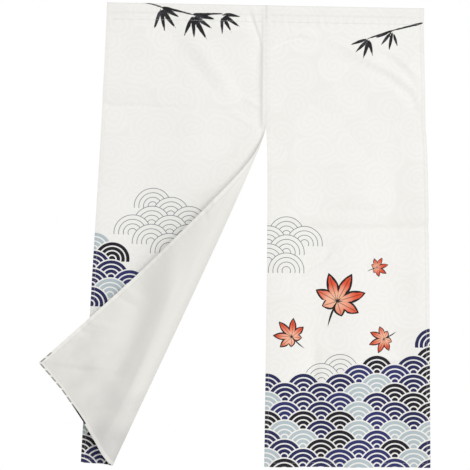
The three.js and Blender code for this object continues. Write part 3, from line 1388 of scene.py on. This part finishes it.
@dataclass(frozen=True)
class ClothFinish(ABC):
    """Matt plain-woven cloth, the same on both faces but for its colour.

    Attributes:
        roughness: Its roughness.
        sheen: How much its fibres catch the light.
        sheen_roughness: How soft that is.
        specular: How much it mirrors.
        yarn: Distance over which the weave repeats.
        streaks_along: Streaks in a metre, along a yarn.
        streaks_across: Streaks in a metre, across the yarns.
        slub: How dark the thick places of the yarns are.
        slub_from: Streak at which they start.
        slub_full: Streak at which they are darkest.
        slub_tint: Their colour.
        streak_height: How far streaks raise the cloth.
        yarn_height: How far single yarns do.
        bump: How plain these heights are.
        bump_depth: How deep they are.
    """

    roughness: float = 0.86
    sheen: float = 0.05
    sheen_roughness: float = 0.6
    specular: float = 0.18
    yarn: float = 0.95
    streaks_along: float = 60.0
    streaks_across: float = 900.0
    slub: float = 0.03
    slub_from: float = 0.25
    slub_full: float = 0.75
    slub_tint: Colour = (0.35, 0.35, 0.34, 1.0)
    streak_height: float = 0.7
    yarn_height: float = 0.15
    bump: float = 0.22
    bump_depth: float = 0.6

    @abstractmethod
    def dye(self, g: CutGraph, cut: CutSizes, start: float) -> Field:
        """Colours the cloth before its yarns show.

        Args:
            g: The node graph.
            cut: The panel's sizes.
            start: Where the panel starts across the curtain.

        Returns:
            The colours.
        """

    def edges(self, g: CutGraph, cut: CutSizes, start: float) -> Field:
        """Distance in from the panel's nearest hemmed edge.

        Args:
            g: The node graph.
            cut: The panel's sizes.
            start: Where the panel starts across the curtain.

        Returns:
            The distances.
        """
        near = g.x - start
        return g.least([near, cut.width - near, g.y + cut.drop])

    def weave(self, g: CutGraph, colour: Field) -> None:
        """Ends the graph in cloth with yarns, slubs and a fine bump.

        Args:
            g: The node graph.
            colour: The dyed colour.
        """
        weft = g.noise(g.vector(g.x_m * self.streaks_along, g.y_m * self.streaks_across))
        warp = g.noise(g.vector(g.x_m * self.streaks_across, g.y_m * self.streaks_along))
        streak = (weft + warp) / 2.0
        slubs = g.ease(streak, self.slub_from, self.slub_full) * self.slub
        turn = 2.0 * math.pi / (self.yarn * MM)
        over = g.math("SINE", g.x_m * turn) * g.math("SINE", g.y_m * turn)
        height = streak * self.streak_height + over * self.yarn_height
        bump = {"Strength": self.bump, "Distance": self.bump_depth * MM, "Height": height}
        others = {
            "Sheen Weight": self.sheen,
            "Sheen Roughness": self.sheen_roughness,
            "Specular IOR Level": self.specular,
            "Normal": g.field("Bump", bump),
        }
        g.surface(g.mix(slubs, colour, self.slub_tint), self.roughness, others)

    def material(self, name: str, cut: CutSizes, start: float) -> bpy.types.Material:
        """Makes the material.

        Args:
            name: Its name.
            cut: The panel's sizes.
            start: Where the panel starts across the curtain.

        Returns:
            The material.
        """
        made = bpy.data.materials.new(name)
        g = CutGraph(made)
        self.weave(g, self.dye(g, cut, start))
        return made


@dataclass(frozen=True)
class PrintedFace(ClothFinish):
    """The printed front of a panel, with painted shade along its sewing and turned edges.

    Attributes:
        groove: Painted shade along the stitching of the hems.
        rim: Painted shade along the turned edge, where the hem rounds away.
        seam: Painted shade along the stitching under the rod pocket.
        tuck: Painted shade along the raw edge that is turned in behind it.
        tuck_drop: Top edge to that.
        sewn_shade_tint: Colour of the painted shade along them all.
    """

    # Painted shade: dark lines at the hem stitching, the turned edge, the pocket stitching and the
    # turned-in raw edge
    groove: SewnLineShade = SewnLineShade(1.6, 0.4, 0.035)
    rim: SewnLineShade = SewnLineShade(7.5, 1.5, 0.055)
    seam: SewnLineShade = SewnLineShade(2.0, 0.5, 0.05)
    tuck: SewnLineShade = SewnLineShade(4.6, 0.5, 0.055)
    tuck_drop: float = 28.0
    sewn_shade_tint: Colour = (0.2, 0.2, 0.21, 1.0)

    def dye(self, g: CutGraph, cut: CutSizes, start: float) -> Field:
        """Colours the cloth with the print and painted shade along its sewing and turned edges.

        Args:
            g: The node graph.
            cut: The panel's sizes.
            start: Where the panel starts across the curtain.

        Returns:
            The colours.
        """
        edge = self.edges(g, cut, start)
        shade_marks = [
            self.groove.mark(g, abs(edge - cut.side_hem)),
            self.tuck.mark(g, abs(g.y + self.tuck_drop)),
            self.seam.mark(g, abs(g.y + cut.pocket_drop)),
            self.rim.mark(g, edge),
        ]
        # The painted shade of the sewing and the turned edges goes over the print
        return g.mix(g.most(shade_marks), PRINT.paint(g), self.sewn_shade_tint)


@dataclass(frozen=True)
class PlainBack(ClothFinish):
    """The unprinted back, with the print faintly showing through and round its edges.

    Attributes:
        show_through: How much of the filled scales shows through.
        seen_from: Distance outside them at which they start to show.
        seen_full: Distance at which they show in full.
        rag_scale: How fine their ragged edge is.
        rag: How ragged it is.
        cloud_across: Clouds in a metre, across.
        cloud_down: Clouds in a metre, down.
        cloud_from: Cloud at which anything shows.
        cloud_full: Cloud at which it shows in full.
        deep: An oval where more shows through.
        deep_show: How much more.
        deep_rag: How ragged its edge is.
        deep_from: Distance outside the oval at which it starts.
        deep_full: Distance at which it is full.
        groove: Painted shade along the stitching of the hems.
        groove_shade_tint: Colour of that painted shade.
        hem_pale: How much paler the doubled cloth of the hems is.
        hem_blur: How softly that starts.
        head_pale: How much paler the back is towards its top edge.
        pale_from: Top edge to where that starts, going up.
        pale_to: Top edge to where it is full.
        wrap: Width of the print that is turned round the edge.
        wrap_end: Where that ends, going left.
        corner: Distance from the foot up to which it shows.
        dash: Length from dash to dash of it.
        dash_share: Share of that which is inked.
        dash_ink: How dark the dashes are.
        bold_from: Where they start to grow dark and join, going left.
        bold_to: Where they are one dark line.
    """

    show_through: float = 0.09
    seen_from: float = 45.0
    seen_full: float = -55.0
    rag_scale: float = 11.0
    rag: float = 150.0
    cloud_across: float = 18.0
    cloud_down: float = 13.0
    cloud_from: float = 0.2
    cloud_full: float = 0.75
    deep: ScalePatch = ScalePatch(122, 1196, 98, 88)
    deep_show: float = 0.16
    deep_rag: float = 60.0
    deep_from: float = 20.0
    deep_full: float = -40.0
    # Painted shade along the hem stitching on the back
    groove: SewnLineShade = SewnLineShade(1.6, 0.4, 0.16)
    groove_shade_tint: Colour = (0.25, 0.25, 0.25, 1.0)
    hem_pale: float = 0.42
    hem_blur: float = 0.5
    head_pale: float = 0.5
    pale_from: float = 580.0
    pale_to: float = 450.0
    wrap: float = 3.8
    wrap_end: float = 232.0
    corner: float = 46.0
    dash: float = 21.0
    dash_share: float = 0.72
    dash_ink: float = 0.6
    bold_from: float = 292.0
    bold_to: float = 264.0

    def dye(self, g: CutGraph, cut: CutSizes, start: float) -> Field:
        """Colours the cloth with what shows through, painted shade along the hem stitching, the pale hems
        and the ink round its edge.

        Args:
            g: The node graph.
            cut: The panel's sizes.
            start: Where the panel starts across the curtain.

        Returns:
            The colours.
        """
        edge = self.edges(g, cut, start)
        outside, _ = PRINT.scales.outside(g, g.x, g.y)
        ragged = outside + g.sway(g.place, self.rag_scale, self.rag)
        cloudy = g.noise(g.vector(g.x_m * self.cloud_across, g.y_m * self.cloud_down), grain=Grain.FINE)
        clouds = g.ease(cloudy, self.cloud_from, self.cloud_full)
        seen = g.ease(ragged, self.seen_from, self.seen_full) * clouds * self.show_through
        beyond = self.deep.outside(g, g.x, g.y) + (cloudy - 0.5) * self.deep_rag
        deep = g.ease(beyond, self.deep_from, self.deep_full) * self.deep_show
        colour = g.mix(seen + deep, Dye.BACK.linear, Dye.NAVY.linear)

        # Painted shade along the hem stitching
        groove = self.groove.mark(g, abs(edge - cut.side_hem))
        colour = g.mix(groove, colour, self.groove_shade_tint)
        hem = g.ease(edge, cut.side_hem + self.hem_blur, cut.side_hem - self.hem_blur)
        head = g.ease(g.y, -self.pale_from, -self.pale_to)
        pale = g.most([hem * self.hem_pale, head * self.head_pale])
        colour = g.mix(pale, colour, Dye.HEM.linear)

        bold = g.ease(g.x, self.bold_from, self.bold_to)
        dashed = g.math("FRACT", (g.x_m + g.y_m) / (self.dash * MM)) < bold + self.dash_share
        ink = (bold * (1.0 - self.dash_ink) + self.dash_ink) * dashed
        low = (g.y + cut.drop < self.corner) * (g.x > self.wrap_end)
        wrapped = (edge < self.wrap) * low * (ragged < 0.0)
        return g.mix(wrapped * ink, colour, Dye.NIGHT.linear)


@dataclass(frozen=True)
class ThreadFinish:
    """Spun sewing thread, a little paler than the cloth.

    Attributes:
        roughness: Its roughness.
        fleck_scale: How fine its flecks are.
        fleck: How plain they are.
        fleck_tint: Their colour.
    """

    roughness: float = 0.7
    fleck_scale: float = 1800.0
    fleck: float = 0.2
    fleck_tint: Colour = (0.5, 0.5, 0.48, 1.0)

    def material(self, name: str) -> bpy.types.Material:
        """Makes the material.

        Args:
            name: Its name.

        Returns:
            The material.
        """
        made = bpy.data.materials.new(name)
        g = Graph(made)
        flecks = g.noise(g.field("TexCoord", output="Object"), self.fleck_scale) * self.fleck
        g.surface(g.mix(flecks, Dye.THREAD.linear, self.fleck_tint), self.roughness)
        return made


@dataclass
class CurtainPanel:
    """One panel with its rod pocket, hems and print, cut from one piece of cloth.

    Attributes:
        side: Which panel.
        cut: Its sizes.
        hang: How it hangs.
        column_pitch: Distance from column to column of the right panel's mesh.
        left_pitch: The same in the left panel.
        tight_from: Where that one's columns are closer, for the crease beside the seam.
        tight_pitch: Distance from column to column there.
        row_pitch: Distance from row to row.
        head_pitch: The same at the head.
        head_rows: Top edge to where the head's rows end.
        lip: Edge to the first line of the mesh, which rounds it.
        step_in: Last line in a hem to the hem's depth.
        step_out: The hem's depth to the first line past it.
        hem_clear: The hem's depth to where the even lines start.
        pocket_ease: Height below the pocket over which the cloth goes back to its own plane.
        pocket_stitched: Height above the stitching over which the pocket's back takes up the folds.
        bake_margin: Margin round the layout of the faces.
        bake_half: Share of the layout for each face.
        smooth_deg: Angle up to which faces are shaded smoothly.
    """

    side: Side
    cut: CutSizes
    hang: Hang
    column_pitch: float = 3.5
    left_pitch: float = 4.1
    tight_from: float = 366.0
    tight_pitch: float = 1.4
    row_pitch: float = 3.45
    head_pitch: float = 2.6
    head_rows: float = 150.0
    lip: float = 1.5
    step_in: float = 1.0
    step_out: float = 0.6
    hem_clear: float = 3.0
    pocket_ease: float = 14.0
    pocket_stitched: float = 20.0
    bake_margin: float = 0.01
    bake_half: float = 0.5
    smooth_deg: float = 50.0

    @property
    def name(self) -> str:
        """The piece's name."""
        return f"curtain_{self.side.value}"

    @property
    def start(self) -> float:
        """Where the panel starts across the curtain's cut."""
        return 0.0 if self.side is Side.LEFT else self.cut.width

    def hem_lines(self, hem: float) -> Numbers:
        """Distances in from an edge at which the mesh has lines for a hem."""
        return np.array([0.0, self.lip, hem / 2.0, hem - self.step_in, hem + self.step_out])

    def columns(self) -> Numbers:
        """Distances across the cut, closer at the hems.

        Returns:
            The distances from the panel's left edge.
        """
        edge = self.hem_lines(self.cut.side_hem)
        first = self.cut.side_hem + self.hem_clear
        last = self.cut.width - first
        if self.side is Side.RIGHT:
            inner = spaced(first, last, self.column_pitch)
        else:
            wide = spaced(first, self.tight_from, self.left_pitch)
            inner = np.concatenate([wide, np.arange(self.tight_from, last, self.tight_pitch)[1:]])
        return np.concatenate([edge, inner, self.cut.width - edge[::-1]])

    def rows(self) -> Numbers:
        """Distances down the cut from the back of the rod pocket to the foot, closer at the head.

        Returns:
            The distances from the top edge.
        """
        head = spaced(-self.cut.pocket_drop, self.head_rows, self.head_pitch)
        last = self.cut.drop - self.cut.foot_hem - self.hem_clear
        body = spaced(self.head_rows, last, self.row_pitch)[1:]
        foot = self.cut.drop - self.hem_lines(self.cut.foot_hem)[::-1]
        return np.concatenate([head, body, foot])

    def place(self, u: Numbers, v: Numbers) -> Numbers:
        """Where points of the cut hang, round the rod pocket and down the panel.

        Args:
            u: Distances from the panel's left edge.
            v: Distances from the top edge, negative behind the rod pocket.

        Returns:
            An array of points in millimetres.
        """
        seam = self.cut.pocket_drop
        pocket = RodPocket(seam)
        depth, height = pocket.section(v)
        hung = self.hang.place(u, np.abs(v))
        ease = 1.0 - soft(v, seam, seam + self.pocket_ease)
        in_pocket = v < seam
        stitched = np.where(v > 0.0, 1.0, soft(-v, seam - self.pocket_stitched, seam))
        in_section = depth + hung[..., 1] * stitched
        hung[..., 1] = np.where(in_pocket, in_section, hung[..., 1] - pocket.half_gap * ease)
        hung[..., 2] = np.where(in_pocket, height, hung[..., 2])
        return hung

    def lay_out(self) -> tuple[bpy.types.Object, Numbers, Numbers]:
        """Adds a flat grid for the cut and hangs its points.

        Returns:
            The piece, and each vertex's distances across and down the cut.
        """
        columns = self.columns()
        rows = self.rows()
        bpy.ops.object.select_all(action="DESELECT")
        bpy.ops.mesh.primitive_grid_add(
            x_subdivisions=len(columns) - 1, y_subdivisions=len(rows) - 1, size=2.0
        )
        piece = bpy.context.object
        piece.name = self.name
        piece.data.name = self.name
        flat = np.empty(len(piece.data.vertices) * 3, np.float32)
        piece.data.vertices.foreach_get("co", flat)
        flat = flat.reshape(-1, 3)
        across = np.rint((flat[:, 0] + 1.0) / 2.0 * (len(columns) - 1)).astype(int)
        down = np.rint((1.0 - flat[:, 1]) / 2.0 * (len(rows) - 1)).astype(int)
        u = columns[across]
        v = rows[down]
        piece.data.vertices.foreach_set("co", (self.place(u, v) * MM).astype(np.float32).ravel())
        return piece, u, v

    def map_cut(self, mesh: bpy.types.Mesh, u: Numbers, v: Numbers) -> None:
        """Stores the cut's own coordinates, and a layout of its two faces side by side.

        Args:
            mesh: The panel's mesh.
            u: Distances across the cut.
            v: Distances down the cut.
        """
        corners = np.empty(len(mesh.loops), np.int32)
        mesh.loops.foreach_get("vertex_index", corners)
        while mesh.uv_layers:
            mesh.uv_layers.remove(mesh.uv_layers[0])
        margin = self.bake_margin
        across = u / self.cut.width
        up = (self.cut.drop - v) / (self.cut.drop + self.cut.pocket_drop)
        maps = {
            CUT_MAP: ((self.start + u) * MM, -v * MM),
            BAKE_MAP: (
                margin + (self.bake_half - 2.0 * margin) * across,
                margin + (1.0 - 2.0 * margin) * up,
            ),
        }
        for name, places in maps.items():
            layer = mesh.uv_layers.new(name=name)
            at_corners = np.stack(places, axis=-1)[corners]
            layer.uv.foreach_set("vector", at_corners.astype(np.float32).ravel())

    def thicken(self, piece: bpy.types.Object, u: Numbers, v: Numbers) -> None:
        """Gives the sheet its two faces, thicker where it is hemmed.

        Args:
            piece: The hung sheet.
            u: Distances across the cut.
            v: Distances down the cut.
        """
        cut = self.cut
        hemmed = np.minimum(u, cut.width - u) < cut.side_hem
        hemmed |= v > cut.drop - cut.foot_hem
        group = piece.vertex_groups.new(name="hem")
        group.add(np.flatnonzero(hemmed).tolist(), 1.0, "REPLACE")
        wall = piece.modifiers.new("cloth", "SOLIDIFY")
        wall.thickness = cut.hem_cloth * MM
        wall.offset = 0.0
        wall.vertex_group = group.name
        wall.thickness_vertex_group = cut.cloth / cut.hem_cloth
        wall.use_quality_normals = True
        wall.material_offset = 1
        bpy.ops.object.modifier_apply(modifier=wall.name)

    def part_faces(self, mesh: bpy.types.Mesh) -> None:
        """Moves the back's faces to their own half of the layout.

        Args:
            mesh: The panel's mesh, with both faces.
        """
        slots = np.empty(len(mesh.polygons), np.int32)
        counts = np.empty(len(mesh.polygons), np.int32)
        mesh.polygons.foreach_get("material_index", slots)
        mesh.polygons.foreach_get("loop_total", counts)
        layer = mesh.uv_layers[BAKE_MAP]
        places = np.empty(len(mesh.loops) * 2, np.float32)
        layer.uv.foreach_get("vector", places)
        places = places.reshape(-1, 2)
        places[np.repeat(slots, counts) == 1, 0] += self.bake_half
        layer.uv.foreach_set("vector", places.ravel())

    def build(self) -> bpy.types.Object:
        """Makes the finished panel.

        Returns:
            The piece.
        """
        piece, u, v = self.lay_out()
        mesh = piece.data
        self.map_cut(mesh, u, v)
        PRINT.maple.store(mesh, self.start + u, v)
        PRINT.ink.store(mesh, self.start + u, v)
        for finish, name in ((PrintedFace(), "printed_face"), (PlainBack(), "plain_back")):
            mesh.materials.append(finish.material(f"{name}_{self.side.value}", self.cut, self.start))
        self.thicken(piece, u, v)
        self.part_faces(piece.data)
        bpy.ops.object.shade_smooth_by_angle(angle=math.radians(self.smooth_deg))
        piece.select_set(False)
        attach(piece, "root")
        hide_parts(f"panel_{self.side.value}", f"rod_pocket_{self.side.value}")
        log.info("%s: %d faces", piece.name, len(piece.data.polygons))
        return piece


@dataclass
class HemStitching:
    """Rows of lockstitch along a panel's hems and under its rod pocket, seen on both faces.

    Attributes:
        panel: The panel.
        pitch: Distance from stitch to stitch.
        stitch: Length of a stitch.
        half_width: Half its width.
        ring: Points round it.
        shoulder: Its middle to where it tapers, as a share of its length.
        inset: Rows of stitching to the inner edge of a hem.
        head_inset: The row under the rod pocket to the pocket's lower end.
        proud: How far the middles of stitches stand off the cloth.
        probe: Step on the cloth by which its slope is found.
    """

    panel: CurtainPanel
    pitch: float = 4.2
    stitch: float = 3.1
    half_width: float = 0.32
    ring: int = 4
    shoulder: float = 0.3
    inset: float = 1.8
    head_inset: float = 0.4
    proud: float = 0.05
    probe: float = 0.5

    def lines(self) -> list[tuple[Numbers, Numbers, float, float]]:
        """Where the stitches lie on the cut.

        Returns:
            For each row of stitching, its points across and down, and the way it runs.
        """
        cut = self.panel.cut
        inner = cut.side_hem - self.inset
        foot = cut.drop - cut.foot_hem + self.inset
        down = np.arange(cut.pocket_drop + self.pitch, foot, self.pitch)
        across = np.arange(inner + self.pitch, cut.width - inner, self.pitch)
        return [
            (np.full_like(down, inner), down, 0.0, 1.0),
            (np.full_like(down, cut.width - inner), down, 0.0, 1.0),
            (across, np.full_like(across, foot), 1.0, 0.0),
            (across, np.full_like(across, cut.pocket_drop - self.head_inset), 1.0, 0.0),
        ]

    def grains(self, u: Numbers, v: Numbers, way_u: float, way_v: float, face: Face) -> Numbers:
        """Corner points of a row of stitches.

        Args:
            u: Their middles across the cut.
            v: Their middles down the cut.
            way_u: How the row runs across.
            way_v: How the row runs down.
            face: The face of the cloth that they lie on.

        Returns:
            The points of each stitch: a tip, two rings, and a tip.
        """
        place = self.panel.place
        side_u = place(u + self.probe, v) - place(u - self.probe, v)
        side_v = place(u, v + self.probe) - place(u, v - self.probe)
        normal = np.cross(side_v, side_u)
        normal /= np.linalg.norm(normal, axis=1, keepdims=True)
        run = side_u * way_u + side_v * way_v
        run /= np.linalg.norm(run, axis=1, keepdims=True)
        wide = np.cross(normal, run)
        off = self.panel.cut.hem_cloth / 2.0 + self.proud
        middle = place(u, v) + normal * face.value * off
        points = [middle - run * self.stitch / 2.0]
        for end in (-self.shoulder, self.shoulder):
            ring = middle + run * self.stitch * end
            points += [ring + way * self.half_width for way in (wide, normal, -wide, -normal)]
        points.append(middle + run * self.stitch / 2.0)
        return np.stack(points, axis=1)

    def faces(self) -> list[tuple[int, ...]]:
        """Faces of one stitch, over its own points.

        Returns:
            The point numbers of each face.
        """
        first = range(1, 1 + self.ring)
        second = range(1 + self.ring, 1 + 2 * self.ring)
        tip = 1 + 2 * self.ring
        sides = [(i, (i + 1) % self.ring) for i in range(self.ring)]
        faces: list[tuple[int, ...]] = [(0, first[i], first[j]) for i, j in sides]
        faces += [(first[i], second[i], second[j], first[j]) for i, j in sides]
        faces += [(tip, second[j], second[i]) for i, j in sides]
        return faces

    def build(self) -> bpy.types.Object:
        """Makes all the stitches of a panel as one piece.

        Returns:
            The piece.
        """
        points = np.concatenate([self.grains(*line, face) for line in self.lines() for face in Face])
        starts = range(0, points.shape[0] * points.shape[1], points.shape[1])
        faces = [tuple(start + corner for corner in face) for start in starts for face in self.faces()]
        name = f"hem_stitching_{self.panel.side.value}"
        mesh = bpy.data.meshes.new(name)
        mesh.from_pydata((points.reshape(-1, 3) * MM).tolist(), [], faces)
        mesh.materials.append(ThreadFinish().material(f"thread_{self.panel.side.value}"))
        piece = bpy.data.objects.new(name, mesh)
        bpy.context.collection.objects.link(piece)
        bpy.context.view_layer.objects.active = piece
        piece.select_set(True)
        bpy.ops.object.mode_set(mode="EDIT")
        bpy.ops.mesh.select_all(action="SELECT")
        bpy.ops.mesh.normals_make_consistent(inside=False)
        bpy.ops.object.mode_set(mode="OBJECT")
        bpy.ops.object.shade_smooth()
        piece.select_set(False)
        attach(piece, "root")
        log.info("%s: %d stitches", name, len(points))
        return piece


@dataclass
class Studio:
    """Plain pale floor, soft light and the camera, with places in metres.

    Attributes:
        camera_at: Where the camera stands.
        camera_yaw_deg: How far it is turned to the right.
        camera_rise_deg: How far it looks up.
        camera_roll_deg: How far it is tilted.
        focal_pixels: Its focal length, in pixels of the picture.
        image_pixels: Width of the picture.
        sensor_mm: Width of its sensor.
        floor_drop: Top edge to the floor.
        floor_radius: Radius of the floor.
        floor_sides: Corners of its outline.
        floor_roughness: Its roughness.
        floor_cloud_scale: How fine its unevenness is.
        floor_cloud: How plain that is.
        floor_tint: The colour of that.
        sky: How strongly the surround lights the curtain.
        key_power: Power of the lamp before the curtain, in watts.
        key_at: Where it stands.
        rear_power: Power of the lamp behind the curtain, in watts.
        rear_at: Where it stands.
        lamp_size: Width of the lamps.
        lamp_aim: What they are aimed at.
    """

    camera_at: Place = (-0.157, -2.5, -0.89)
    camera_yaw_deg: float = 1.81
    camera_rise_deg: float = 6.31
    camera_roll_deg: float = 0.47
    focal_pixels: float = 975.0
    image_pixels: float = 470.0
    sensor_mm: float = 36.0
    floor_drop: float = 2.0
    floor_radius: float = 2.2
    floor_sides: int = 96
    floor_roughness: float = 0.9
    floor_cloud_scale: float = 6.0
    floor_cloud: float = 0.06
    floor_tint: Colour = (0.6, 0.6, 0.6, 1.0)
    sky: float = 0.55
    key_power: float = 374.0
    key_at: Place = (3.0, -7.9, 1.4)
    rear_power: float = 240.0
    rear_at: Place = (5.8, 5.0, 3.0)
    lamp_size: float = 4.5
    lamp_aim: Place = (-0.05, 0.0, -0.6)

    def camera(self) -> None:
        """Sets the camera where the curtain was seen from."""
        yaw = math.radians(self.camera_yaw_deg)
        rise = math.radians(self.camera_rise_deg)
        roll = math.radians(self.camera_roll_deg)
        ahead = Vector((math.sin(yaw) * math.cos(rise), math.cos(yaw) * math.cos(rise), math.sin(rise)))
        level = Vector((math.cos(yaw), -math.sin(yaw), 0.0))
        upward = level.cross(ahead)
        right = level * math.cos(roll) + upward * math.sin(roll)
        up = upward * math.cos(roll) - level * math.sin(roll)
        lens = bpy.data.cameras.new("camera")
        lens.sensor_width = self.sensor_mm
        lens.lens = self.sensor_mm * self.focal_pixels / self.image_pixels
        body = bpy.data.objects.new("camera", lens)
        turn = Matrix((right, up, -ahead)).transposed().to_4x4()
        body.matrix_world = Matrix.Translation(self.camera_at) @ turn
        bpy.context.collection.objects.link(body)
        bpy.context.scene.camera = body

    def floor(self) -> None:
        """Adds a round pale floor well below the curtain."""
        bpy.ops.object.select_all(action="DESELECT")
        bpy.ops.mesh.primitive_circle_add(
            vertices=self.floor_sides,
            radius=self.floor_radius,
            fill_type="NGON",
            location=(0.0, 0.0, -self.floor_drop),
        )
        floor = bpy.context.object
        floor.name = "floor"
        made = bpy.data.materials.new("floor")
        g = Graph(made)
        place = g.field("TexCoord", output="Object")
        clouds = g.noise(place, self.floor_cloud_scale, Grain.FINE) * self.floor_cloud
        g.surface(g.mix(clouds, Dye.FLOOR.linear, self.floor_tint), self.floor_roughness)
        floor.data.materials.append(made)

    def light(self) -> None:
        """Adds a white surround, and a soft lamp before and behind the curtain."""
        world = bpy.data.worlds.new("surround")
        g = Graph(world)
        lit = g.field("Background", {"Color": WHITE, "Strength": self.sky})
        seen = g.field("Background", {"Color": WHITE})
        to_camera = g.field("LightPath", output="Is Camera Ray")
        chosen = g.field("MixShader", {0: to_camera, 1: lit, 2: seen})
        g.node("OutputWorld", {"Surface": chosen})
        scene = bpy.context.scene
        scene.world = world
        scene.view_settings.view_transform = "Standard"
        self.lamp("key", self.key_power, self.key_at)
        self.lamp("rear", self.rear_power, self.rear_at)

    def lamp(self, name: str, power: float, place: Place) -> None:
        """Adds one broad, soft lamp that is aimed at the curtain.

        Args:
            name: Its name.
            power: Its power in watts.
            place: Where it stands.
        """
        lamp = bpy.data.lights.new(name, "AREA")
        lamp.shape = "DISK"
        lamp.size = self.lamp_size
        lamp.energy = power
        body = bpy.data.objects.new(name, lamp)
        body.location = place
        back = Vector(place) - Vector(self.lamp_aim)
        body.rotation_euler = back.to_track_quat("Z", "Y").to_euler()
        bpy.context.collection.objects.link(body)

    def build(self) -> None:
        """Makes the whole studio."""
        self.camera()
        self.floor()
        self.light()
        log.info("studio ready")


def main() -> None:
    """Builds the studio, both panels and their stitching."""
    logging.basicConfig(level=logging.INFO, format="%(name)s: %(message)s")
    bpy.ops.object.select_all(action="DESELECT")
    Studio().build()
    cut = CutSizes.from_frame()
    panels = (
        CurtainPanel(Side.LEFT, cut, LeftHang(cut, LEFT_FOLDS, LEFT_CREASES)),
        CurtainPanel(Side.RIGHT, cut, RightHang(cut, RIGHT_FOLDS, RIGHT_CREASES)),
    )
    for panel in panels:
        piece = panel.build()
        stitches = HemStitching(panel).build()


if __name__ == "__main__":
    main()
